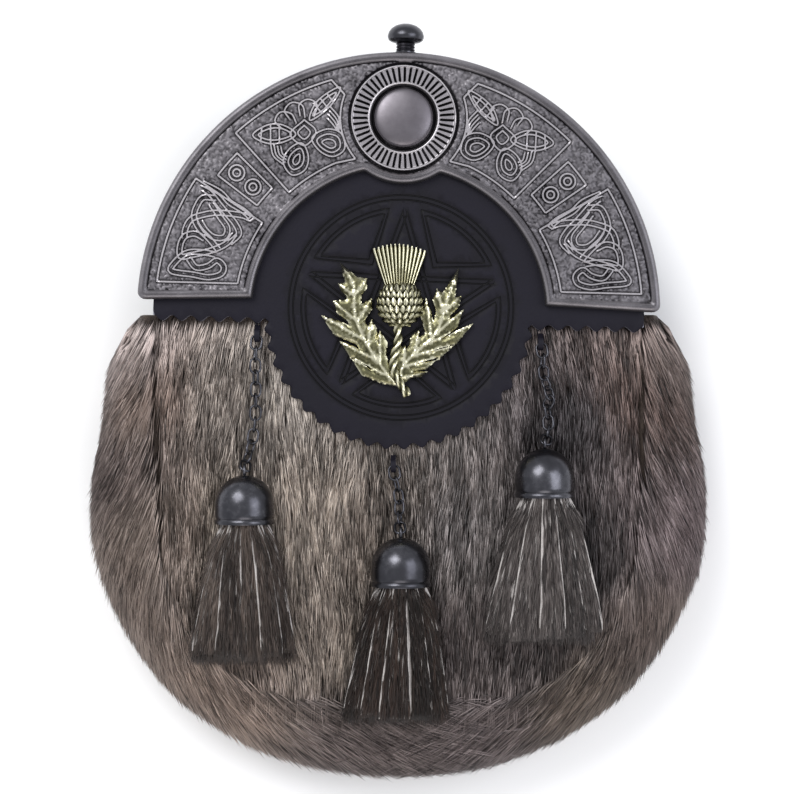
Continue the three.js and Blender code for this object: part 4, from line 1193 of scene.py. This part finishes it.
def leaf(name, rib, lobes):
    """A toothed leaf with a raised midrib and a rib out to each lobe."""
    line = smooth_line(rib, 81)
    way = unit(np.gradient(line, axis=0))
    normal = np.stack([-way[:, 1], way[:, 0]], 1)

    def beside_rib(share, side):
        i = int(np.clip(round(share * 80), 0, 80))
        return line[i] + normal[i] * LEAF_HALF * side * (1 - 0.5 * share)

    def walk(side, rising):
        rows = sorted([l for l in lobes if l[0] == side], key=lambda l: l[1] if rising else -l[1])
        points = []
        step = 0.058 if rising else -0.058
        before, after = (0.16, 0.04) if rising else (0.04, 0.16)
        for _, share, tip in rows:
            tip = np.array(tip)
            a, b = beside_rib(share - step, side), beside_rib(share + step, side)
            bow = lambda p, q, lift: (p + q) / 2 + np.array([-(q - p)[1], (q - p)[0]]) * lift
            points += [a, bow(a, tip, before), tip, bow(tip, b, after), b]
        return points

    outline = np.array([line[0], *walk(1, True), line[-1], *walk(-1, False)])
    outline = resample(closed(outline), 0.45)[:-1]
    ribs = [resample(line, 0.6)]
    for side, share, tip in lobes:
        i = int(np.clip(round((share - 0.06) * 80), 0, 80))
        tip = np.array(tip)
        ribs.append(resample([line[i], line[i] * 0.12 + tip * 0.88], 0.6))
    between = hex_points(outline.min(0), outline.max(0), 0.8, np.random.default_rng(2), 0.3)
    between = between[inside(between, [outline])]
    between = between[(distance_to(between, ribs) > 0.45) & (distance_to(between, [closed(outline)]) > 0.35)]
    edges = [closed(outline)]

    def height(flat):
        to_rib, to_edge = distance_to(flat, ribs), distance_to(flat, edges)
        crest = np.clip(1 - to_rib / 0.55, 0, 1)
        blade = 1.1 + 0.55 * np.sin(np.clip(to_edge / 1.6, 0, 1) * math.pi / 2)
        blade += 0.28 * np.clip(to_rib / 2, 0, 1)
        return BADGE_Z + blade + 0.55 * crest + 0.12 * np.sin(flat[:, 0] * 4.1 + flat[:, 1] * 3.3)

    points, faces = relief_sheet([outline], ribs, between, height,
                                 lambda flat: np.full(len(flat), BADGE_Z))
    made = make_piece(name, points, faces, antique_gilt, 70)
    upper = points[:len(points) // 2]
    to_rib, to_edge = distance_to(upper[:, :2], ribs), distance_to(upper[:, :2], edges)
    bright = 0.42 + 0.5 * np.clip(1 - to_rib / 0.5, 0, 1) + 0.3 * np.clip(1 - to_edge / 0.4, 0, 1)
    bright -= 0.3 * np.clip(1 - np.abs(to_rib - 0.8) / 0.4, 0, 1) * (to_edge > 0.4)
    set_wear(made, np.concatenate([bright, np.full(len(upper), 0.2)]))
    return made


leaves = [leaf("thistle_leaf", **shape) for shape in LEAVES]

def slab_faces(rows, columns):
    """Faces of a slab between two grids of points, the upper grid given first."""
    quads = [(a, a + 1, a + 1 + columns, a + columns)
             for i in range(rows - 1) for a in range(i * columns, (i + 1) * columns - 1)]
    rim = (list(range(columns)) + [i * columns + columns - 1 for i in range(1, rows)]
           + [(rows - 1) * columns + k for k in range(columns - 2, -1, -1)]
           + [i * columns for i in range(rows - 2, 0, -1)])
    shift = rows * columns
    return (quads + [tuple(c + shift for c in quad[::-1]) for quad in quads]
            + [(b, a, a + shift, b + shift) for a, b in zip(rim, rim[1:] + rim[:1])])


# Tuft: a fan of 13 ribs that spreads from the bulb.
TUFT_RIBS, TUFT_ROWS, TUFT_COLUMNS = 13, 18, 13 * 6 + 1
tuft_low, tuft_high = [(-4.2, 8.2), (4.8, 8.2)], [(-8.6, 20.4), (9.2, 19.6)]
tuft_points, tuft_wear = [], []
for layer in (0, 1):
    for v in np.linspace(0, 1, TUFT_ROWS):
        for u in np.linspace(0, 1, TUFT_COLUMNS):
            a = np.array(tuft_low[0]) * (1 - u) + np.array(tuft_low[1]) * u
            b = np.array(tuft_high[0]) * (1 - u) + np.array(tuft_high[1]) * u
            flare = v ** 1.15
            crown = 1.9 * math.sin(math.pi * u) * v ** 2
            spike = 0.55 * abs(math.sin(math.pi * u * TUFT_RIBS)) * (v > 0.97)
            x, y = a * (1 - flare) + b * flare + np.array([0, crown + spike])
            across = math.sin(math.pi * np.clip(u * 0.9 + 0.05, 0, 1))
            rib = abs(math.sin(math.pi * u * TUFT_RIBS))
            z = BADGE_Z + 0.4 + 2.4 * across + 0.75 * rib + 0.5 * (1 - v) if layer == 0 else BADGE_Z
            tuft_points.append((x, y, z))
            tuft_wear.append(0.12 + 0.75 * rib if layer == 0 else 0.2)
tuft = make_piece("thistle_tuft", tuft_points, slab_faces(TUFT_ROWS, TUFT_COLUMNS), antique_gilt, 60)
set_wear(tuft, tuft_wear)


# Bulb: the dark body that shows between the scales.
BULB = {"centre": (0.4, 3.4, BADGE_Z + 0.9), "radii": (6.6, 6.9, 5.0)}
BULB_ROWS, BULB_SIDES = 20, 28
bulb_points, bulb_rows = [], []
for i in range(BULB_ROWS + 1):
    tilt = math.pi * i / BULB_ROWS
    around = 1 if i in (0, BULB_ROWS) else BULB_SIDES
    bulb_rows.append(list(range(len(bulb_points), len(bulb_points) + around)))
    for k in range(around):
        turn = 2 * math.pi * k / BULB_SIDES
        out = np.array([math.sin(tilt) * math.cos(turn), math.cos(tilt), math.sin(tilt) * math.sin(turn)])
        bulb_points.append(BULB["centre"] + out * BULB["radii"])
bulb = make_piece("thistle_bulb", bulb_points, [face[::-1] for face in ringed_faces(bulb_rows, BULB_SIDES)],
                  antique_gilt, 180)
set_wear(bulb, np.full(len(bulb.data.vertices), 0.05))

# Scales: pointed shells laid over the bulb in rows, each row covering the roots of the one above it.
scale_outline = [(-0.5, -0.32), (-0.1, -0.5), (0.25, -0.34), (0.6, 0), (0.25, 0.34), (-0.1, 0.5),
                 (-0.5, 0.32)]
scale_points = [(x, y, 0.0) for x, y in scale_outline] + [(x * 0.8, y * 0.62, 0.24) for x, y in scale_outline]
scale_points += [(0.42, 0, 0.34), (-0.45, 0, 0.16)]
sides = len(scale_outline)
scale_faces = [tuple(range(sides))[::-1]]
scale_faces += [(k, (k + 1) % sides, sides + (k + 1) % sides, sides + k) for k in range(sides)]
scale_faces += [(sides + k, sides + k + 1, 2 * sides) for k in range(1, sides - 2)]
ridge_top, ridge_foot = 2 * sides, 2 * sides + 1
scale_faces += [(sides, sides + 1, ridge_top, ridge_foot),
                (ridge_top - 2, ridge_top - 1, ridge_foot, ridge_top), (ridge_top - 1, sides, ridge_foot)]
scale_shape = stock("scale_shape", scale_points, scale_faces)
set_wear(scale_shape, [0.05] * sides + [0.55] * sides + [0.95, 0.4])
scale_places, scale_ways, scale_ups = [], [], []
cx, cy, cz = BULB["centre"]
rx, ry, rz = BULB["radii"]
for row, tilt_deg in enumerate(range(30, 165, 19)):
    tilt = math.radians(tilt_deg)
    around = max(4, round(11 * math.sin(tilt)))
    for k in range(around + 1):
        turn = math.pi * (k + (row % 2) * 0.5) / around
        if turn > math.pi + 0.01:
            continue
        p = np.array([math.sin(tilt) * math.cos(turn), math.cos(tilt), math.sin(tilt) * math.sin(turn)])
        out = unit(p / np.array([rx, ry, rz]))
        up_bulb = np.array([-math.cos(tilt) * math.cos(turn) * rx, math.sin(tilt) * ry,
                            -math.cos(tilt) * math.sin(turn) * rz])
        scale_places.append(p * [rx, ry, rz] + [cx, cy, cz])
        scale_ways.append(unit(unit(up_bulb) + out * 0.28))
        scale_ups.append(out)
scales = lay("thistle_scales", scale_shape, scale_places, scale_ways, scale_ups,
             np.tile([3.5, 2.9, 2.6], (len(scale_places), 1)), antique_gilt)


# Stem: three strands twisted together.
def tube(name, path, radius_at, sides, material, side=None):
    """A closed tube along a 3-D path: radius_at gives each ring's radius for every turn round it.

    side is the direction of the first point of each ring; without it, that is level.
    """
    path = np.array(path, float)
    way = unit(np.gradient(path, axis=0))
    side = unit(np.cross(way, [0.0, 0.0, 1.0])) if side is None else np.tile(side, (len(path), 1))
    up = np.cross(side, way)
    points = []
    for i, centre in enumerate(path):
        turns = 2 * math.pi * np.arange(sides) / sides
        r = radius_at(i / (len(path) - 1), turns)[:, None]
        points.append(centre + r * (np.cos(turns)[:, None] * side[i] + np.sin(turns)[:, None] * up[i]))
    faces = [face[::-1] for face in tube_faces(len(path), sides)]
    return make_piece(name, np.vstack(points), faces, material, 180)


STEM = [(-0.4, -2, 37.3), (-0.2, -9, 37.5), (-1.5, -14.5, 37.7), (-1.5, -18.5, 37.7), (0.8, -22.7, 37.5),
        (3, -26.2, 37.3)]
stem_path = resample(smooth_line(STEM, 61), 0.4)
TWISTS = 7
stem = tube("thistle_stem", stem_path, lambda share, turns: (1.25 + 0.28 * np.cos(
    3 * (turns + share * 2 * math.pi * TWISTS / 3))) * (1 if share < 0.9 else 1.15), 18, antique_gilt)
stem_wear = []
for i in range(len(stem_path)):
    share = i / (len(stem_path) - 1)
    turns = 2 * math.pi * np.arange(18) / 18
    stem_wear += list(0.5 + 0.4 * np.cos(3 * (turns + share * 2 * math.pi * TWISTS / 3)))
set_wear(stem, stem_wear)
thistle = join(leaves[0], leaves[1], tuft, bulb, scales, stem)
thistle.name = "thistle_casting"
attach(thistle, "root")
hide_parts("thistle_badge")


# ---- Hangers: thong, chain, bell and tassel --------------------------------------------------------------
# Each tassel hangs from a black nickel bell on a fine cable chain, which a thong holds under the apron.
LINK = {"length": 5.6, "width": 4.2, "wire": 0.8}
LINK_REACH = (LINK["length"] - LINK["wire"]) / 2
BELL = {"radius": 9.4, "height": 15.4, "wall": 0.9, "z": 45.6}
EYE = {"radius": 1.75, "wire": 1.0, "above": 1.4, "open": 1.45 * math.pi}
HANGERS = {
    "left": {"route": [(-45.4, -6.8, 36.9), (-45.9, -12, 38), (-45.8, -24, 38), (-45.9, -33, 38.1),
                       (-46.9, -41, 38.6), (-48.3, -45.9, 41), (-48.8, -50, 45.6)],
             "rolls": [0, 76, -20, 62, -24, 80, 0, 88, 16, -56, 52, -20], "bell": (-48.8, -51.4),
             "end": (-50, -110.2, 18.6)},
    "middle": {"route": [(-1.7, -48.6, 36.9), (-1, -53, 38), (0.1, -58, 38.4), (0.3, -63, 39.6),
                         (0.2, -66.4, 42), (0.7, -69.8, 45.6)],
               "rolls": [0, 72, -36, 36, -72, 0], "bell": (0.7, -71.2), "end": (-1, -129.4, 18.2)},
    "right": {"route": [(45.6, -9.4, 36.9), (46.5, -14, 38), (46.1, -19, 38.2), (47.6, -23.4, 39.4),
                        (49, -26.6, 41), (47, -30, 39.4), (48.4, -34.6, 39), (47.6, -38.2, 41.2),
                        (46.5, -41.6, 45.6)],
              "rolls": [0, 76, -24, 56, -42, 36, -60, 24, -80, 0], "bell": (46.3, -43),
              "end": (44.8, -104, 19.4)},
}


def link_shape():
    """One oval link of unit size, lying flat with its length along X."""
    straight = (LINK["length"] - LINK["width"]) / 2
    radius = (LINK["width"] - LINK["wire"]) / 2
    around, section = 24, 8
    points, faces = [], []
    for i in range(around):
        turn = 2 * math.pi * (i + 0.5) / around
        out = np.array([math.cos(turn), math.sin(turn), 0])
        centre = radius * out + [math.copysign(straight, out[0]), 0, 0]
        for k in range(section):
            a = 2 * math.pi * k / section
            points.append(centre + LINK["wire"] / 2 * (out * math.cos(a) + np.array([0, 0, 1]) * math.sin(a)))
            n, m = (k + 1) % section, (i + 1) % around
            faces.append((i * section + k, m * section + k, m * section + n, i * section + n))
    made = stock("link_shape", points, faces)
    set_wear(made, [0.4] * len(points))
    return made


one_link = link_shape()


def chain(name, route, rolls):
    """Links along the route, a pitch apart, each rolled about it as it lies."""
    path = resample(smooth_line(route, 60 * (len(route) - 1) + 1), 0.02)
    length = np.linalg.norm(np.diff(path, axis=0), axis=1).sum()
    pitch = (length - 2 * LINK_REACH) / (len(rolls) - 1)
    marks = np.linspace(0, 1, len(path))
    at = lambda d: np.array([np.interp(d / length, marks, path[:, k]) for k in range(3)])
    places, ways, ups = [], [], []
    for i, roll in enumerate(rolls):
        middle = LINK_REACH + i * pitch
        back, ahead = at(max(0, middle - LINK_REACH)), at(min(length, middle + LINK_REACH))
        along = unit(ahead - back)
        across = unit(np.cross(along, [0, 0, 1]))
        up = np.cross(across, along)
        turn = math.radians(roll)
        places.append((back + ahead) / 2)
        ways.append(along)
        ups.append(up * math.cos(turn) + across * math.sin(turn))
    return lay(name, one_link, places, ways, ups, np.ones((len(rolls), 3)), black_nickel)


def bell(name, x, crown):
    """A thin domed cap with a rolled lip, and the eye that the last link holds."""
    r, wall, straight = BELL["radius"], BELL["wall"], BELL["height"] - BELL["radius"]
    dome = [(r * math.cos(t), r - r * math.sin(t)) for t in np.linspace(math.pi / 2, 0, 15)]
    dome[0] = (0, 0)
    foot = BELL["height"]
    outside = dome + [(r, r + straight * 0.5), (r - 0.05, foot - 2.0), (r - 0.3, foot - 1.7),
                      (r - 0.1, foot - 1.4), (r + 0.1, foot - 1.0), (r + 0.12, foot - 0.5), (r, foot),
                      (r - wall, foot)]
    inner = [((r - wall) * math.cos(t), r - (r - wall) * math.sin(t)) for t in np.linspace(0, math.pi / 2, 9)]
    inner[-1] = (0, wall)
    shell = lathe(name, outside + inner, 64, black_nickel,
                  (x, crown, BELL["z"]), (x, crown - 1, BELL["z"]), 50)
    half_open = EYE["open"] / 2
    eye_path = [(x, crown + EYE["above"] + EYE["radius"] * math.cos(t), BELL["z"] + EYE["radius"] * math.sin(t))
                for t in np.linspace(-half_open, half_open, 21)]
    eye = tube("bell_eye", eye_path, lambda share, turns: np.full(len(turns), EYE["wire"] / 2), 10, black_nickel,
               side=(1, 0, 0))
    join(shell, eye)
    set_wear(shell, np.full(len(shell.data.vertices), 0.42))
    return shell


# Tassels: strips of the same pelt, cut with a knife from the flesh side, rolled tight into the bell and
# fanned out below it. Each cut shows the pale edge of the hide, and shadow between the strips.
strip_hide = fibrous("dressed_hide_cut_edge", 0.6, 4.0, "#8d8784", "#d2cdca", 0.8)

TASSEL_NECK = 7.4
# Share of the fall below the bell, share of the spread, and the bundle's lower and upper height there.
TASSEL_SECTIONS = [(-0.28, -0.25, 40.8, 50.4), (-0.2, 0, 38.4, 52.8), (0, 0, 38.4, 52.8),
                   (0.06, 0.14, 37.6, 52.4), (0.3, 0.42, 37, 50), (0.65, 0.7, 36.8, 47.2),
                   (0.92, 0.88, 36.8, 43.8), (0.97, 0.84, 37.3, 42)]
# Each strip: where it leaves the bell and where it ends, as shares of the spread; its width there; how
# far it falls short of the longest; how high it lies in the bundle; its tone, from dark 0 to pale 1.
TASSEL_STRIPS = {
    "left": [(-0.7, -0.62, 11, 2.5, 0, 0.75), (-0.35, -0.22, 9.5, 1.2, 1, 0.35), (0.75, 0.72, 9, 3.0, 0, 0.5),
             (0.15, 0.2, 8.0, 0.4, 1, 0.65), (0.5, 0.56, 7, 2.0, 2, 0.4)],
    "middle": [(-0.75, -0.72, 9, 3.5, 0, 0.5), (-0.45, -0.4, 9, 1.5, 1, 0.6),
               (-0.05, -0.02, 10, 0.3, 2, 0.55), (0.8, 0.76, 8, 2.5, 0, 0.45), (0.42, 0.48, 7, 1.0, 1, 0.15)],
    "right": [(-0.7, -0.68, 10, 2.5, 0, 0.6), (-0.3, -0.26, 10, 0.5, 1, 0.7), (0.1, 0.22, 8.5, 1.4, 2, 0.6),
              (0.8, 0.86, 10, 3.0, 0, 0.5), (0.5, 0.58, 8, 1.6, 1, 0.35)],
}
TASSEL_COLOURS = {
    "left": ("#150d0b", "#3a302c", "#74675f"), "middle": ("#090403", "#1b110d", "#483830"),
    "right": ("#0f0a0b", "#413a39", "#857d7a"),
}
TASSEL_HAIRS, STRIP_HAIRS = 2600, 620
rng = np.random.default_rng(31)
for name, hanger in HANGERS.items():
    chain_piece = chain("chain_" + name, hanger["route"], hanger["rolls"])
    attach(chain_piece, "root")
    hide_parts(*["chain_link_%s_%02d" % (name, i + 1) for i in range(len(hanger["rolls"]))])

    bell_x, crown = hanger["bell"]
    bell_piece = bell("bell_" + name, bell_x, crown)
    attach(bell_piece, "root")
    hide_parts("tassel_bell_" + name)

    mouth_y = crown - BELL["height"]
    end_x, end_y, spread_half = hanger["end"]
    fall = end_y - mouth_y
    shares = np.array([row[0] for row in TASSEL_SECTIONS])

    def at_share(share, column):
        return np.interp(share, shares, [row[column] for row in TASSEL_SECTIONS])

    core_rows = np.linspace(-0.28, 0.97, 24)
    core_sides = 36
    core = np.zeros((len(core_rows), core_sides, 3))
    for i, share in enumerate(core_rows):
        flare, low, high = (at_share(share, c) for c in (1, 2, 3))
        half_width = TASSEL_NECK + (spread_half - TASSEL_NECK) * flare
        turns = 2 * math.pi * np.arange(core_sides) / core_sides
        core[i, :, 0] = bell_x + (end_x - bell_x) * max(share, 0) + half_width * 0.94 * np.cos(turns)
        core[i, :, 1] = mouth_y + fall * share
        core[i, :, 2] = (low + high - 1.6) / 2 + (high - low - 1.6) / 2 * np.sin(turns)
    faces = [face[::-1] for face in tube_faces(len(core_rows), core_sides)]
    bundle = make_piece("tassel_bundle_" + name, core.reshape(-1, 3), faces, underfur, 60)

    dark, body_tone, pale = (np.array(linear(code)[:3]) for code in TASSEL_COLOURS[name])

    def grow(label, place, way, up, length, width, lift, tone):
        """Hairs on the tassel, their tone from dark 0 to pale 1 with a wide spread, and painted shade at their
        roots.
        """
        count = len(place)
        wisp = patchy(place[:, :2] + rng.normal(0, 0.15, (count, 2)), TASSEL_WISP, 17, 1)[:, 0]
        shade = np.clip(tone + 0.42 * wisp + rng.normal(0, 0.12, count), 0, 1)[:, None]
        own = toned(shade, dark, body_tone, pale)
        tip = own + (pale - own) * rng.random((count, 1)) * 0.45
        # painted shade: the root is half as bright as the hair, where the other hairs cover it
        return lay_hairs(label, place, way, up, length, width, lift, own * 0.5, tip)

    grid = np.concatenate([core[2:], core[2:, :1]], axis=1)
    place, along, across, up, (down_share, _) = scatter(grid, TASSEL_HAIRS, rng)
    from_core = (place - [bell_x, mouth_y, 43.5])[:, [0, 2]]
    up = np.where((up[:, [0, 2]] * from_core).sum(1, keepdims=True) < 0, -up, up)
    way = unit(along + rng.normal(0, 0.07, along.shape))
    length = rng.uniform(8, 15, TASSEL_HAIRS)
    length = np.minimum(length, np.maximum((place[:, 1] - end_y + 2.5) / np.maximum(-way[:, 1], 0.3), 3))
    width = rng.uniform(0.28, 0.42, TASSEL_HAIRS)
    parts = [grow("tassel_hair", place, way, up, length, width, rng.uniform(0.3, 1.1, TASSEL_HAIRS), 0.4)]

    for leave, reach, wide, short, layer, tone in TASSEL_STRIPS[name]:
        rows = np.linspace(-0.12, 1 - short / -fall, 18)
        across_shares = np.linspace(-0.5, 0.5, 5)
        grid = np.zeros((len(rows), len(across_shares), 3))
        for i, share in enumerate(rows):
            flare, high = at_share(share, 1), at_share(share, 3)
            half_width = TASSEL_NECK + (spread_half - TASSEL_NECK) * flare
            lean = leave + (reach - leave) * float(np.clip(share * 1.4, 0, 1))
            middle_x = bell_x + (end_x - bell_x) * max(share, 0)
            middle_x += lean * half_width * (1 if share > 0 else 0.8)
            strip_wide = 4.2 + (wide - 4.2) * float(np.clip(share * 1.15, 0, 1))
            x = middle_x + across_shares * strip_wide * (1 if share > 0 else 0.9)
            side = np.clip((x - (bell_x + (end_x - bell_x) * share)) / half_width, -0.97, 0.97)
            low = at_share(share, 2)
            top = (low + high) / 2 + (high - low) / 2 * np.sqrt(1 - side ** 2) * 0.93
            grid[i, :, 0] = x
            grid[i, :, 1] = mouth_y + fall * share
            grid[i, :, 2] = top - 0.3 + layer * 0.9
        strip_points = np.vstack([grid.reshape(-1, 3), (grid - [0, 0, 1.15]).reshape(-1, 3)])
        faces = [face[::-1] for face in slab_faces(len(rows), len(across_shares))]
        parts.append(make_piece("tassel_strip", strip_points, faces, strip_hide, 40))
        shown = grid.copy()
        shown[:, 0, 0] += 0.5
        shown[:, -1, 0] -= 0.35
        place, along, across, up, (down_share, _) = scatter(shown, STRIP_HAIRS, rng)
        up = np.where(up[:, 2:] < 0, -up, up)
        way = unit(along + rng.normal(0, 0.025, along.shape))
        strip_end = grid[-1, 0, 1]
        length = rng.uniform(6, 11, STRIP_HAIRS)
        room = (place[:, 1] - strip_end + 1.0) / np.maximum(-way[:, 1], 0.3)
        length = np.minimum(length, np.maximum(room, 1.5))
        parts.append(grow("strip_hair", place, way, up, length, rng.uniform(0.28, 0.42, STRIP_HAIRS),
                          rng.uniform(0.3, 0.7, STRIP_HAIRS), tone))
    join(bundle, *parts)
    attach(bundle, "root")
    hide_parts("tassel_" + name)

    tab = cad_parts["chain_tab_" + name]
    tab.data.materials.clear()
    tab.data.materials.append(calf_leather)

for shape in (stitch_shape, one_hair, scale_shape, one_link):
    bpy.data.objects.remove(shape)
